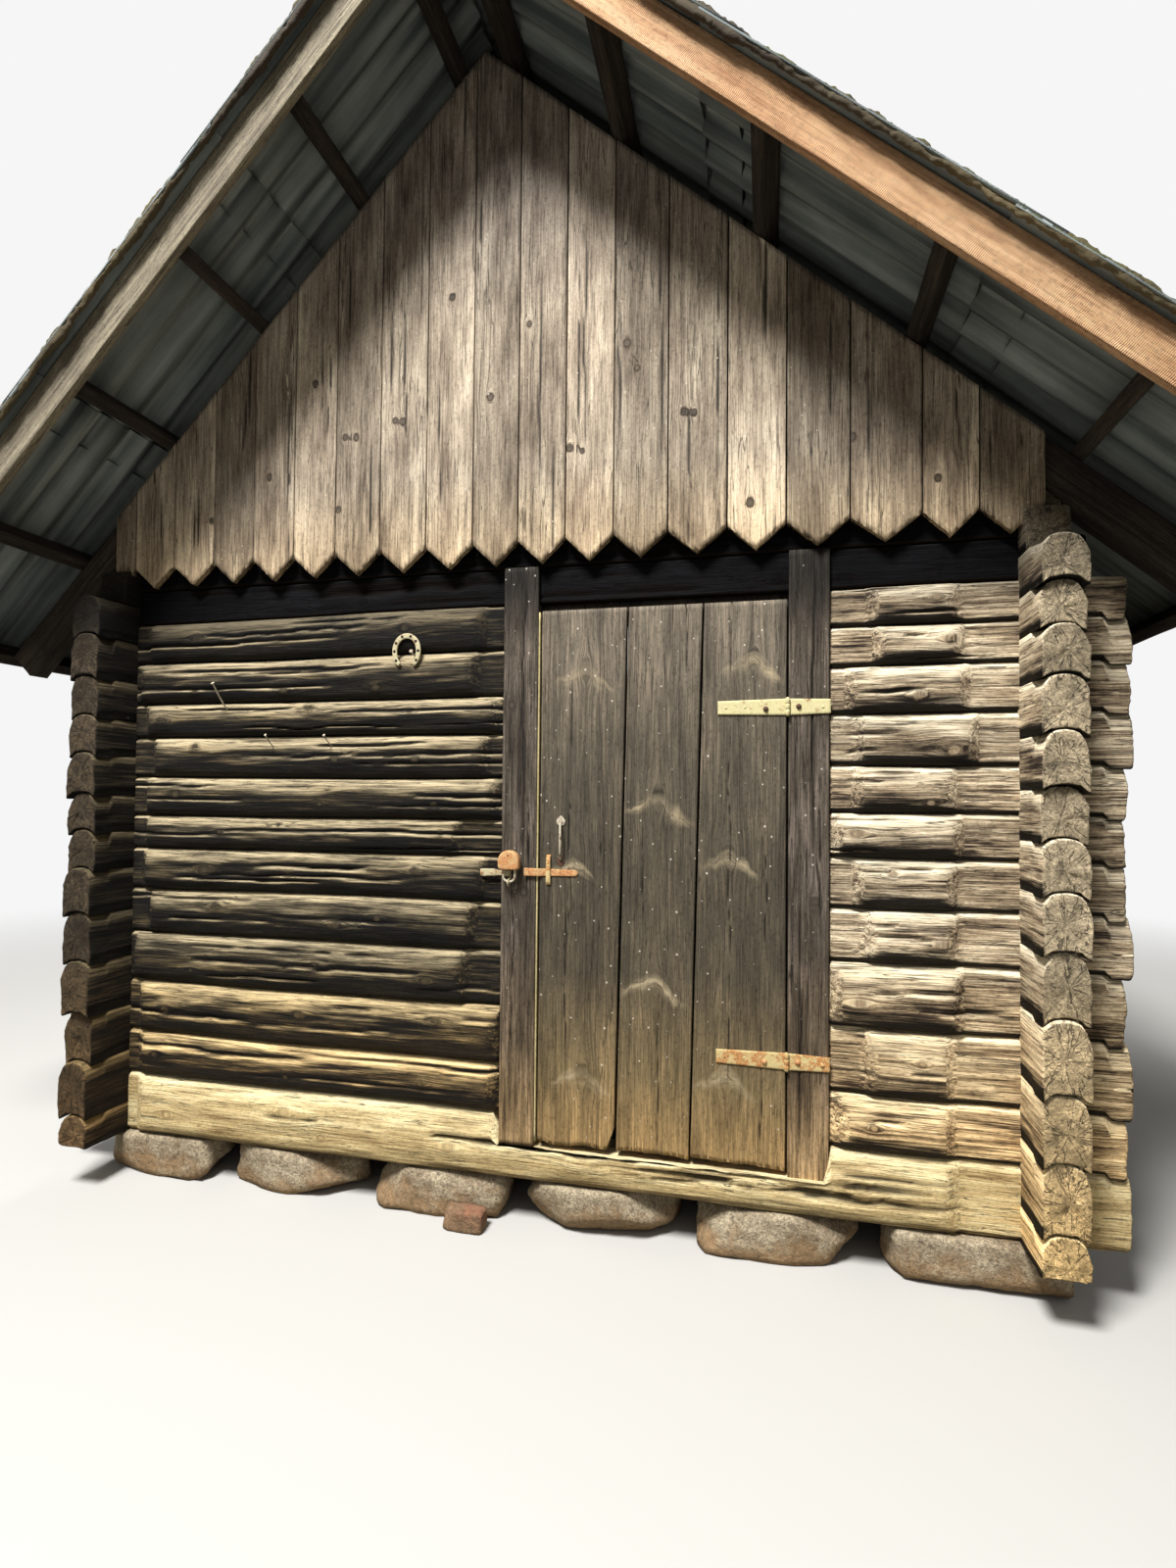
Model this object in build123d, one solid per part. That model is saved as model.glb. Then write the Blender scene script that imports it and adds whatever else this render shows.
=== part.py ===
from build123d import *
import os
from math import atan2, cos, degrees, pi, sin

os.makedirs("parts", exist_ok=True)

# A log storehouse with notched corners, a boarded gable, a steep roof of wavy sheets
# and one outward-opening plank door. Millimetres, +Z up, the door looks along -Y,
# and the origin is on the ground in the middle of the plan.

# Walls
WALL_X = 3285.0  # side wall to side wall, over the hewn faces
WALL_Y = 3800.0  # front wall to back wall, over the hewn faces
LOG_T = 120.0  # log thickness between two hewn faces
BELLY = 35.0  # how far the round of a log stands out past its hewn face
FLATS = 4  # in the round of a log
ROD_FLATS = 8  # in a forged rod
EYE_FLATS = 12  # in a hinge eye and its pin
SEAT_HALF = 50.0  # half width of the bed between two logs
CROWN = 12.0  # rise of a log's rounded top into the groove of the next
STUB_FRONT = 180.0  # front and back logs, past the side walls
STUB_SIDE = 200.0  # side logs, past the front and back walls
STUB_SHORT = 60.0  # the side log just under the wall plate
HEWN_CORNER = 160.0  # flat hewn beside a corner
HEWN_JAMB = 80.0  # flat hewn beside a door post
HEWN_FADE = 50.0  # length in which a hewn flat runs out past the round
LOG_GAP = 0.4  # between logs of one wall
NOTCH_GAP = 0.3  # each side of a log in its notch

# Log heights from the sill up; those beside the doorway share its height in this proportion
FOOT_H = 150.0
SILL_H = 215.0
LEFT_H = (160.0, 187.0, 182.0, 166.0, 150.0, 125.0, 140.0, 150.0, 125.0, 155.0, 152.0)
RIGHT_H = (162.0, 201.0, 194.0, 162.0, 151.0, 135.0, 145.0, 155.0, 145.0, 125.0, 117.0)
LINTEL_H = 125.0
TOP_LOG_H = 140.0
PLATE_RISE = 33.0  # top of the wall plate over the top front log

# Doorway and door
DOOR_X = 478.5  # middle of the leaf
DOOR_W = 788.0
DOOR_H = 1750.0
DOOR_T = 30.0
LATCH_GAP = 12.0
HINGE_GAP = 5.0
LEAF_LIFT = 15.0  # leaf over the threshold
LINTEL_OVER = 27.0  # lintel over the top of the leaf
SILL_CUT = 100.0  # depth of the threshold in the sill log
POST_W = 122.0
POST_PROUD = 15.0  # posts stand out past the hewn logs
REBATE = 20.0  # how far the back of a post laps behind the leaf
REBATE_GAP = 5.0
POST_UP = 20.0  # the hinge post's tongue on the sill ends this far over the stones
PLANK_GAP = 1.5
SEAM_1 = (260.0, 290.0)  # foot and head of the first seam, from the latch edge
SEAM_2 = (497.0, 532.0)
ROT_W = 26.0  # rotted corner of the first plank
ROT_H = 95.0
LEDGE_W = 100.0
LEDGE_T = 25.0
LEDGE_INSET = 30.0

# Roof
RIDGE_X = -130.0  # the ridge lies a little to the left
RIDGE_Z = 3962.0  # where the two planes under the battens meet
RAFTER_HEEL = 70.0  # height of a rafter over the wall plate, at the wall's outer face
EAVE_OUT = 581.0  # sheets past the side walls, level
RAFTER_W = 80.0
RAFTER_D = 115.0
RAFTER_PAIRS = 5
TAIL_BACK = 60.0  # rafter end, up from the lower edge of the sheets
BATTEN_W = 50.0
BATTEN_D = 75.0
BATTEN_EAVE = 103.0  # lowest batten, in from the sheets' edge, level
RIGHT_BATTENS = (75.0, 458.0, 910.0, 1358.0, 1802.0)  # from the ridge, level
LEFT_BATTENS = (75.0, 445.0, 840.0, 1225.0, 1640.0)
WAVES = 41  # valleys from front to back
WAVE_D = 28.0
SHEET_T = 6.0
SHEET_REST = 0.3
RIDGE_GAP = 10.0  # sheets from the ridge, at the battens' top
BARGE_H = 112.0
BARGE_T = 28.0
BARGE_OUT = 470.0  # outer face of a barge board, before the gable wall
BARGE_BACK = 30.0  # its lower end, up from the lower edge of the sheets
VERGE_OUT = 45.0  # sheets past the barge boards
CAP_WING = 190.0
CAP_T = 6.0

# Gable boards, from the left as one faces the door
BOARD_W = (90.0, 170.0, 171.0, 166.0, 165.0, 165.0, 172.0, 174.0, 170.0, 161.0, 163.0, 161.0,
           176.0, 186.0, 179.0, 187.0, 203.0, 155.0, 173.0)
BOARD_IN = (42.0, 56.0)  # outer edges, in from the left and the right wall
BOARD_T = 25.0
BOARD_TIP = 3.0  # points over the joint under the top log
POINT_H = 75.0
BOARD_GROOVE = 4.0

# Floor and footing
FLOOR_DROP = 10.0  # floor under the threshold
FLOOR_T = 32.0
FLOOR_GAP = 6.0
JOIST_W = 110.0
JOISTS = 4
STONE_GAP = 60.0
STONE_OUT = 25.0
STONE_DEEP = 260.0
STONE_TAPER = 8.0
STONE_CUT = 45.0  # broken corner

# Fittings
STRAP_H = 52.0
STRAP_T = 4.0
STRAP_REACH = 212.0
PLATE_REACH = 127.0
HINGE_LOW = 335.0  # over the bottom of the leaf
HINGE_HIGH = 333.0  # under its top
PIN_R = 3.5
PIN_PLAY = 0.05
KNUCKLE_R = 7.0
KNUCKLE_GAP = 0.5
HASP_H = 26.0
HASP_Z = 886.0  # over the bottom of the leaf
HASP_REACH = 132.0  # its right end, from the latch edge
HASP_CRANK = 6.0
HASP_OVER = 39.0  # its left end, past the latch gap
SHOE_BAND = 17.0
SHOE_T = 8.0

# Places worked out from the sizes above
HALF_X = WALL_X / 2
HALF_Y = WALL_Y / 2
SIDE_AXIS = HALF_X - LOG_T / 2
FRONT_AXIS = HALF_Y - LOG_T / 2
THRESHOLD_Z = FOOT_H + SILL_H - SILL_CUT
LEAF_Z = THRESHOLD_Z + LEAF_LIFT
LEAF_X0 = DOOR_X - DOOR_W / 2
LEAF_X1 = DOOR_X + DOOR_W / 2
WAY_X0 = LEAF_X0 - LATCH_GAP
WAY_X1 = LEAF_X1 + HINGE_GAP
FRAME_X0 = WAY_X0 - POST_W
FRAME_X1 = WAY_X1 + POST_W
FACE_Y = -HALF_Y - POST_PROUD
LEAF_BACK_Y = FACE_Y + DOOR_T
LINTEL_Z = LEAF_Z + DOOR_H + LINTEL_OVER
EAVE_X = HALF_X + EAVE_OUT
BARGE_Y = HALF_Y + BARGE_OUT
VERGE_Y = BARGE_Y + VERGE_OUT
SHEET_LOW = BATTEN_D + SHEET_REST
SHEET_TOP = SHEET_LOW + WAVE_D + SHEET_T
BOARD_LEFT = BOARD_IN[0] - HALF_X
BOARD_RIGHT = HALF_X - BOARD_IN[1]


def running(start, heights):
    """Levels of the joints of a wall whose logs have these heights."""
    levels = [start]
    for height in heights:
        levels.append(levels[-1] + height)
    return levels


def fitted(sizes, length):
    """A row of sizes in the same proportion, made to fill this length."""
    return [size * length / sum(sizes) for size in sizes]


BESIDE_H = LINTEL_Z - FOOT_H - SILL_H
LEFT_JOINTS = running(FOOT_H, [SILL_H, *fitted(LEFT_H, BESIDE_H), LINTEL_H, TOP_LOG_H])
RIGHT_JOINTS = running(FOOT_H, [SILL_H, *fitted(RIGHT_H, BESIDE_H), LINTEL_H, TOP_LOG_H])
BACK_JOINTS = [(a + b) / 2 for a, b in zip(LEFT_JOINTS, RIGHT_JOINTS)]
PLATE_TOP = LEFT_JOINTS[-1] + PLATE_RISE
BOARD_TIP_Z = LEFT_JOINTS[-2] + BOARD_TIP


def side_joints(joints):
    """Joints of a side wall, half a log above those of the wall that it crosses."""
    middles = [(a + b) / 2 for a, b in zip(joints, joints[1:])]
    return [FOOT_H] + middles + [PLATE_TOP]


def necks(joints, sides):
    """Levels at which crossing logs bed on each other at a corner, from the bottom up."""
    mixed = [joints[0]]
    for side, joint in zip(sides[1:-1], joints[1:]):
        mixed += [side, joint]
    beds = [(a + b) / 2 for a, b in zip(mixed, mixed[1:])]
    return [FOOT_H] + beds + [PLATE_TOP]


def round_side(z0, z1):
    """Points up the round of a log, as (reach, level): half an ellipse in flats."""
    swell = LOG_T / 2 + BELLY - SEAT_HALF
    turns = [pi * i / FLATS for i in range(FLATS + 1)]
    return [(SEAT_HALF + swell * sin(a), z0 + (z1 - z0) * (1 - cos(a)) / 2) for a in turns]


def round_at(level, z0, z1):
    """Reach of the round of a log at one level."""
    points = round_side(z0, z1)
    for (y0, low), (y1, high) in zip(points, points[1:]):
        if low <= level <= high:
            return y0 + (y1 - y0) * (level - low) / (high - low)
    return SEAT_HALF


def log_section(z0, z1, crowned, grooved, outer):
    """Face of one log in the YZ plane: round on its outer side, hewn flat on the inner one."""
    top = z1 - LOG_GAP
    outline = round_side(z0, top) + [(0, top + (CROWN if crowned else 0))]
    outline += [(-LOG_T / 2, top), (-LOG_T / 2, z0), (0, z0 + (CROWN if grooved else 0))]
    return Plane.YZ * make_face(Polyline(*[(outer * y, z) for y, z in outline], close=True))


def hewn_plan(x0, x1, rounds, outer):
    """Outline from above: hewn thickness, left round on the outer side along each stretch."""
    edge = outer * LOG_T / 2
    points = [(x0, -edge), (x0, edge)]
    for start, end in rounds:
        points += [(start, edge), (start + HEWN_FADE, 2 * edge)]
        points += [(end - HEWN_FADE, 2 * edge), (end, edge)]
    return points + [(x1, edge), (x1, -edge)]


def block(x0, x1, y0, y1, z0, z1):
    """Square block between the given planes."""
    return Pos((x0 + x1) / 2, (y0 + y1) / 2, (z0 + z1) / 2) * Box(x1 - x0, y1 - y0, z1 - z0)


def log(x0, x1, z0, z1, rounds, crossings=(), crowned=True, grooved=True, outer=-1):
    """One log along X, with a notch over and under at each (place, bed under, bed over)."""
    section = log_section(z0, z1, crowned, grooved, outer)
    body = Pos(x0, 0, 0) * extrude(section, x1 - x0, dir=(1, 0, 0))
    outline = Polyline(*hewn_plan(x0, x1, rounds, outer), close=True)
    body &= Pos(0, 0, z0 - CROWN / 2) * extrude(make_face(outline), z1 - z0 + 2 * CROWN)
    half = LOG_T / 2 + NOTCH_GAP
    reach = LOG_T
    for place, under, over in crossings:
        if under > z0:
            body -= block(place - half, place + half, -reach, reach, z0 - CROWN, under)
        if over < z1:
            body -= block(place - half, place + half, -reach, reach, over, z1 + 2 * CROWN)
    return body


class Slope:
    """One side of the roof, drawn as the right one and then set on its own side.

    u runs down it from the ridge, y along the ridge, and w stands square to it, from the
    underside of the battens.
    """

    def __init__(self, side):
        self.side = side
        self.wall = HALF_X - side * RIDGE_X
        self.eave = EAVE_X - side * RIDGE_X
        self.angle = atan2(RIDGE_Z - PLATE_TOP - RAFTER_HEEL, self.wall)
        self.c, self.s = cos(self.angle), sin(self.angle)
        self.foot = (self.eave - SHEET_TOP * self.s) / self.c
        self.plane = Plane(origin=(0, 0, RIDGE_Z), x_dir=(self.c, 0, -self.s),
                           z_dir=(self.s, 0, self.c))

    def block(self, u0, u1, y0, y1, w0, w1):
        """Block between these values of u, y and w."""
        return self.plane * block(u0, u1, y0, y1, w0, w1)

    def mitred(self, shape):
        """The shape cut at the ridge, midway between the two slopes."""
        other = LEFT if self.side > 0 else RIGHT
        lean = Pos(0, 0, RIDGE_Z) * Rot(0, degrees(self.angle - other.angle) / 2, 0)
        return shape & (lean * block(0, 2 * self.eave, -VERGE_Y, VERGE_Y, -2 * RIDGE_Z, RIDGE_Z))

    def placed(self, shape):
        """The shape on its own side of the ridge."""
        return Pos(RIDGE_X, 0, 0) * (shape if self.side > 0 else mirror(shape, about=Plane.YZ))

    def under(self, x):
        """Level of the battens' underside at this distance from the ridge."""
        return RIDGE_Z - x * self.s / self.c

    def past_wall(self, level, length):
        """Length of a log end past the wall, no further than to the rafter over it."""
        room = (self.under(self.wall) - RAFTER_D / self.c - level) * self.c / self.s
        return max(0, min(length, room - NOTCH_GAP))


LEFT, RIGHT = Slope(-1), Slope(1)

# Rows of levels for the four corners
LEFT_SIDE = side_joints(LEFT_JOINTS)
RIGHT_SIDE = side_joints(RIGHT_JOINTS)
FRONT_LEFT_BEDS = necks(LEFT_JOINTS, LEFT_SIDE)
FRONT_RIGHT_BEDS = necks(RIGHT_JOINTS, RIGHT_SIDE)
BACK_LEFT_BEDS = necks(BACK_JOINTS, LEFT_SIDE)
BACK_RIGHT_BEDS = necks(BACK_JOINTS, RIGHT_SIDE)
ROUND_X = HALF_X - LOG_T - HEWN_CORNER
ROUND_Y = HALF_Y - LOG_T - HEWN_CORNER
COURSES = len(LEFT_JOINTS) - 1
LINTEL_COURSE = COURSES - 1


def crossing(place, beds, course):
    """Notch of a front or back log where a side wall crosses it."""
    return (place, beds[2 * course - 1], beds[2 * course])


def front_logs(side):
    """The logs of one side of the doorway, under the lintel log."""
    left = side == "left"
    joints = LEFT_JOINTS if left else RIGHT_JOINTS
    beds = FRONT_LEFT_BEDS if left else FRONT_RIGHT_BEDS
    slope = LEFT if left else RIGHT
    logs = []
    for course in range(2, LINTEL_COURSE):
        end = HALF_X + slope.past_wall(joints[course], STUB_FRONT)
        if left:
            x0, x1 = -end, FRAME_X0 - NOTCH_GAP
            rounds = [(-ROUND_X, FRAME_X0 - HEWN_JAMB)]
        else:
            x0, x1 = FRAME_X1 + NOTCH_GAP, end
            rounds = [(FRAME_X1 + HEWN_JAMB, ROUND_X)]
        place = -SIDE_AXIS if left else SIDE_AXIS
        last = course == LINTEL_COURSE - 1
        piece = log(x0, x1, joints[course - 1], joints[course], rounds,
                    [crossing(place, beds, course)], crowned=not last)
        logs.append(Pos(0, -FRONT_AXIS, 0) * piece)
    return logs


def long_log(joints, left_beds, right_beds, course, rounds, crowned=True, grooved=True, outer=-1):
    """A log that runs the whole width and crosses both side walls."""
    cuts = [crossing(-SIDE_AXIS, left_beds, course), crossing(SIDE_AXIS, right_beds, course)]
    stub = {COURSES: 0, COURSES - 1: STUB_SHORT}.get(course, STUB_FRONT)
    start, end = [HALF_X + slope.past_wall(joints[course], stub) for slope in (LEFT, RIGHT)]
    return log(-start, end, joints[course - 1], joints[course], rounds, cuts, crowned, grooved,
               outer)


def sill_front():
    """The bottom front log, cut down in the doorway to make the threshold."""
    rounds = [(-ROUND_X, FRAME_X0 - HEWN_JAMB), (FRAME_X1 + HEWN_JAMB, ROUND_X)]
    sill = long_log(LEFT_JOINTS, FRONT_LEFT_BEDS, FRONT_RIGHT_BEDS, 1, rounds, grooved=False)
    sill -= block(FRAME_X0, FRAME_X1, -LOG_T, LOG_T, THRESHOLD_Z, LEFT_JOINTS[2])
    return Pos(0, -FRONT_AXIS, 0) * sill


def lintel_logs():
    """The two flat-hewn logs over the doorway; the upper one carries the gable boards."""
    lintel = long_log(LEFT_JOINTS, FRONT_LEFT_BEDS, FRONT_RIGHT_BEDS, LINTEL_COURSE, [],
                      crowned=False, grooved=False)
    top = long_log(LEFT_JOINTS, FRONT_LEFT_BEDS, FRONT_RIGHT_BEDS, COURSES, [],
                   crowned=False, grooved=False)
    nailing = block(-HALF_X + LOG_T, HALF_X - LOG_T, -LOG_T / 2 - POST_PROUD, -LOG_T / 2,
                    LEFT_JOINTS[-2], LEFT_JOINTS[-1] - LOG_GAP)
    return [Pos(0, -FRONT_AXIS, 0) * lintel, Pos(0, -FRONT_AXIS, 0) * (top + nailing)]


def back_logs():
    """The unbroken back wall, as a mirror of the front's corners."""
    logs = []
    for course in range(1, COURSES + 1):
        flat = course >= LINTEL_COURSE
        rounds = [] if flat else [(-ROUND_X, ROUND_X)]
        piece = long_log(BACK_JOINTS, BACK_LEFT_BEDS, BACK_RIGHT_BEDS, course, rounds,
                         crowned=not flat and course < LINTEL_COURSE - 1,
                         grooved=1 < course and not flat, outer=1)
        if course == COURSES:
            piece += block(-HALF_X + LOG_T, HALF_X - LOG_T, LOG_T / 2, LOG_T / 2 + POST_PROUD,
                           BACK_JOINTS[-2], BACK_JOINTS[-1] - LOG_GAP)
        logs.append(Pos(0, FRONT_AXIS, 0) * piece)
    return logs


def side_logs(side):
    """One side wall, with stubs standing out past the front and the back wall."""
    left = side == "left"
    joints = LEFT_SIDE if left else RIGHT_SIDE
    front = FRONT_LEFT_BEDS if left else FRONT_RIGHT_BEDS
    back = BACK_LEFT_BEDS if left else BACK_RIGHT_BEDS
    place = -SIDE_AXIS if left else SIDE_AXIS
    logs = []
    for row in range(len(joints) - 1):
        plate = row == COURSES
        stub = 0 if plate else (STUB_SHORT if row == COURSES - 1 else STUB_SIDE)
        end = HALF_Y + stub
        cuts = [(-FRONT_AXIS, front[2 * row], front[2 * row + 1]),
                (FRONT_AXIS, back[2 * row], back[2 * row + 1])]
        rounds = [] if plate else [(-ROUND_Y, ROUND_Y)]
        piece = log(-end, end, joints[row], joints[row + 1], rounds, cuts,
                    crowned=row < COURSES - 1, grooved=0 < row < COURSES,
                    outer=1 if left else -1)
        piece = Pos(place, 0, 0) * Rot(0, 0, 90) * piece
        if row == COURSES - 1:
            piece -= board_housing(place)
        logs.append(piece)
    return logs


def board_housing(place):
    """Room for the outer gable boards in the short stubs."""
    low = BOARD_TIP_Z - NOTCH_GAP
    reach = LOG_T
    front = block(place - reach, place + reach, FACE_Y - BOARD_T - NOTCH_GAP,
                  FACE_Y + NOTCH_GAP, low, PLATE_TOP)
    sides = block(BOARD_LEFT - NOTCH_GAP, BOARD_RIGHT + NOTCH_GAP, -WALL_Y, WALL_Y, low, PLATE_TOP)
    back = mirror(front, about=Plane.XZ)
    return [front & sides, back & sides]


def post(side):
    """Door post: full depth under the lintel, a rebate behind the leaf, a face up to the gable."""
    latch = side == "latch"
    x0, x1 = (FRAME_X0, WAY_X0) if latch else (WAY_X1, FRAME_X1)
    back_y = -HALF_Y + LOG_T + POST_PROUD
    body = block(x0, x1, FACE_Y, back_y, THRESHOLD_Z, LINTEL_Z)
    rebate_y = LEAF_BACK_Y + REBATE_GAP
    if latch:
        body += block(WAY_X0 - REBATE, WAY_X0 + REBATE, rebate_y, back_y, THRESHOLD_Z, LINTEL_Z)
    else:
        body += block(WAY_X1 - REBATE, WAY_X1 + REBATE, rebate_y, back_y, THRESHOLD_Z, LINTEL_Z)
        body += block(x0, x1, FACE_Y, -HALF_Y - NOTCH_GAP, FOOT_H + POST_UP, THRESHOLD_Z)
    body += block(x0, x1, FACE_Y, -HALF_Y - NOTCH_GAP, LINTEL_Z - POST_W, LEFT_JOINTS[-2])
    return body


def door_head():
    """Head rail under the lintel, behind the top of the leaf."""
    return block(WAY_X0 + REBATE + NOTCH_GAP, WAY_X1 - REBATE - NOTCH_GAP,
                 LEAF_BACK_Y + REBATE_GAP, -HALF_Y + LOG_T, LEAF_Z + DOOR_H - REBATE, LINTEL_Z)


def leaf_plank(edges, notch=None):
    """Upright door plank; edges are its left and right side, each as (foot x, head x)."""
    (left_foot, left_head), (right_foot, right_head) = edges
    foot, head = LEAF_Z, LEAF_Z + DOOR_H
    outline = Polyline((left_foot, foot), (right_foot, foot), (right_head, head),
                       (left_head, head), close=True)
    plank = extrude(Plane.XZ * make_face(outline), DOOR_T / 2, both=True)
    plank = Pos(0, FACE_Y + DOOR_T / 2, 0) * plank
    if notch:
        plank -= notch
    return plank


def door_planks():
    """Three planks; the first has lost its lower corner."""
    half = PLANK_GAP / 2
    a, b = [[LEAF_X0 + at for at in seam] for seam in (SEAM_1, SEAM_2)]
    rot = Polyline((a[0] + half, LEAF_Z), (a[0] - ROT_W, LEAF_Z),
                   (a[0] - ROT_W / 2, LEAF_Z + ROT_H / 2), (a[0] + half, LEAF_Z + ROT_H), close=True)
    rot = Pos(0, FACE_Y + DOOR_T / 2, 0) * extrude(Plane.XZ * make_face(rot), DOOR_T, both=True)
    first = leaf_plank([(LEAF_X0, LEAF_X0), (a[0] - half, a[1] - half)], rot)
    second = leaf_plank([(a[0] + half, a[1] + half), (b[0] - half, b[1] - half)])
    third = leaf_plank([(b[0] + half, b[1] + half), (LEAF_X1, LEAF_X1)])
    return first, second, third


HINGE_HEIGHTS = (HINGE_LOW, DOOR_H - HINGE_HIGH)


def door_ledges():
    """The two cross ledges on the inner face, behind the hinge straps."""
    x0 = WAY_X0 + REBATE + LEDGE_INSET
    x1 = WAY_X1 - REBATE - LEDGE_INSET
    return [block(x0, x1, LEAF_BACK_Y, LEAF_BACK_Y + LEDGE_T, LEAF_Z + at - LEDGE_W / 2,
                  LEAF_Z + at + LEDGE_W / 2) for at in HINGE_HEIGHTS]


PIN_X = LEAF_X1 + HINGE_GAP / 2
PIN_Y = FACE_Y - KNUCKLE_R - STRAP_T / 4
KNUCKLE_H = STRAP_H / 3


def knuckle(z0, z1):
    """Rolled eye of a hinge, bored for its pin."""
    return Pos(PIN_X, PIN_Y, z0) * extrude(RegularPolygon(KNUCKLE_R, EYE_FLATS), z1 - z0)


def pin(z, length, across_flats):
    """Hinge pin about this level; with room across its flats it is the bore that a pin turns in."""
    face = RegularPolygon(PIN_R + PIN_PLAY if across_flats else PIN_R, EYE_FLATS,
                          major_radius=not across_flats)
    return Pos(PIN_X, PIN_Y, z - length / 2) * extrude(face, length)


def hinge_strap(height):
    """Strap on the leaf with the upper and lower eyes."""
    z = LEAF_Z + height
    low, high = z - STRAP_H / 2, z + STRAP_H / 2
    strap = block(PIN_X - STRAP_REACH, LEAF_X1, FACE_Y - STRAP_T, FACE_Y, low, high)
    strap += block(LEAF_X1 - KNUCKLE_R, PIN_X, FACE_Y - STRAP_T, FACE_Y - STRAP_T / 4, low, high)
    strap += knuckle(low, high)
    gap = KNUCKLE_H / 2 + KNUCKLE_GAP
    strap -= block(LEAF_X1 - KNUCKLE_R - KNUCKLE_GAP, PIN_X + 2 * KNUCKLE_R,
                   PIN_Y - 2 * KNUCKLE_R, FACE_Y + 1, z - gap, z + gap)
    return strap - pin(z, 2 * STRAP_H, across_flats=True)


def hinge_plate(height):
    """Plate on the post with the middle eye and the pin fast in it."""
    z = LEAF_Z + height
    low, high = z - STRAP_H / 2, z + STRAP_H / 2
    side = PIN_X + KNUCKLE_R + KNUCKLE_GAP
    plate = block(side, PIN_X + PLATE_REACH, FACE_Y - STRAP_T, FACE_Y, low, high)
    plate += block(PIN_X, side, FACE_Y - STRAP_T, FACE_Y - STRAP_T / 4,
                   z - KNUCKLE_H / 2, z + KNUCKLE_H / 2)
    plate += knuckle(z - KNUCKLE_H / 2, z + KNUCKLE_H / 2)
    return plate + pin(z, STRAP_H + KNUCKLE_R, across_flats=False)


GRIP_IN = 72.0  # from the latch edge
GRIP_X = LEAF_X0 + GRIP_IN
GRIP_LOW = 925.0  # over the bottom of the leaf
GRIP_HIGH = 1055.0
GRIP_OUT = 26.0
GRIP_R = 4.0
LEAF_PLATE_T = 2.5
LEAF_PLATE_W = 26.0
LEAF_PLATE_H = 38.0


def door_pull():
    """Slender forged pull with a leaf-shaped plate at each end."""
    low, high = LEAF_Z + GRIP_LOW, LEAF_Z + GRIP_HIGH
    face = FACE_Y - LEAF_PLATE_T
    path = Polyline((GRIP_X, face, low), (GRIP_X, FACE_Y - GRIP_OUT, low + GRIP_OUT),
                    (GRIP_X, FACE_Y - GRIP_OUT, high - GRIP_OUT), (GRIP_X, face, high))
    rod = Plane(path @ 0, z_dir=path % 0) * RegularPolygon(GRIP_R, ROD_FLATS)
    grip = sweep(rod, path=path, transition=Transition.RIGHT)
    grip &= block(GRIP_X - GRIP_OUT, GRIP_X + GRIP_OUT, FACE_Y - 2 * GRIP_OUT, FACE_Y, low - GRIP_OUT,
                  high + GRIP_OUT)
    half, tip = LEAF_PLATE_W / 2, LEAF_PLATE_H / 2
    leaf = make_face(Polyline((0, tip), (half, tip / 3), (half * 0.7, -tip / 2), (0, -tip),
                              (-half * 0.7, -tip / 2), (-half, tip / 3), close=True))
    for z, turn in ((low, 180), (high, 0)):
        grip += Pos(GRIP_X, FACE_Y, z) * Rot(90, 0, 0) * extrude(Rot(0, 0, turn) * leaf, LEAF_PLATE_T)
    return grip


HASP_RIGHT = LEAF_X0 + HASP_REACH
HASP_LEFT = WAY_X0 - HASP_OVER
HASP_T = 3.0
HASP_STANDOFF = 6.0
KEEPER_IN = 32.0
KEEPER_X = LEAF_X0 + KEEPER_IN
KEEPER_H = 110.0
KEEPER_R = 4.0


def hasp():
    """Iron strap on the leaf, cranked out over the latch post, with a rounded end."""
    z = LEAF_Z + HASP_Z
    crank = LEAF_X0 + HASP_CRANK
    lap = block(crank, HASP_RIGHT - HASP_H / 2, FACE_Y - HASP_T, FACE_Y, z - HASP_H / 2, z + HASP_H / 2)
    lap += Pos(HASP_RIGHT - HASP_H / 2, FACE_Y, z) * Rot(90, 0, 0) * extrude(
        RegularPolygon(HASP_H / 2, EYE_FLATS), HASP_T)
    step = block(crank, crank + HASP_T, FACE_Y - HASP_STANDOFF - HASP_T, FACE_Y,
                 z - HASP_H / 2, z + HASP_H / 2)
    over = block(HASP_LEFT, crank + HASP_T, FACE_Y - HASP_STANDOFF - HASP_T, FACE_Y - HASP_STANDOFF,
                 z - HASP_H / 2, z + HASP_H / 2)
    return lap + step + over


def keeper():
    """Forged iron staple that holds the hasp strap to the leaf."""
    z = LEAF_Z + HASP_Z
    y = FACE_Y - HASP_T - KEEPER_R - NOTCH_GAP
    rod = Pos(KEEPER_X, y, z - KEEPER_H / 2) * extrude(RegularPolygon(KEEPER_R, ROD_FLATS), KEEPER_H)
    for end in (z - KEEPER_H / 2 + KEEPER_R, z + KEEPER_H / 2 - KEEPER_R):
        leg = block(KEEPER_X - KEEPER_R, KEEPER_X + KEEPER_R, y, FACE_Y, end - KEEPER_R, end + KEEPER_R)
        rod += leg
    return rod


LOCK_OFF = 85.0  # its middle, from the edge of the latch post
LOCK_X = WAY_X0 - LOCK_OFF
LOCK_W = 74.0
LOCK_H = 64.0
LOCK_SIDE = 34.0  # straight side of the case, under its arched top
LOCK_T = 30.0
LOCK_Y = FACE_Y - 24.0
LOCK_LOW = 893.0  # bottom of the case over the bottom of the leaf
SHACKLE_R = 4.5
SHACKLE_SPAN = 40.0
SHACKLE_DROP = 42.0
BOW_FLATS = 8  # round the bow of the shackle, and over the top of the case
EYE_LAP = 85.5  # strap past the post, over the log ends
EYE_STRAP_LEFT = FRAME_X0 - EYE_LAP
EYE_Z = 880.0
EYE_PLAY = 2.0


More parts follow.
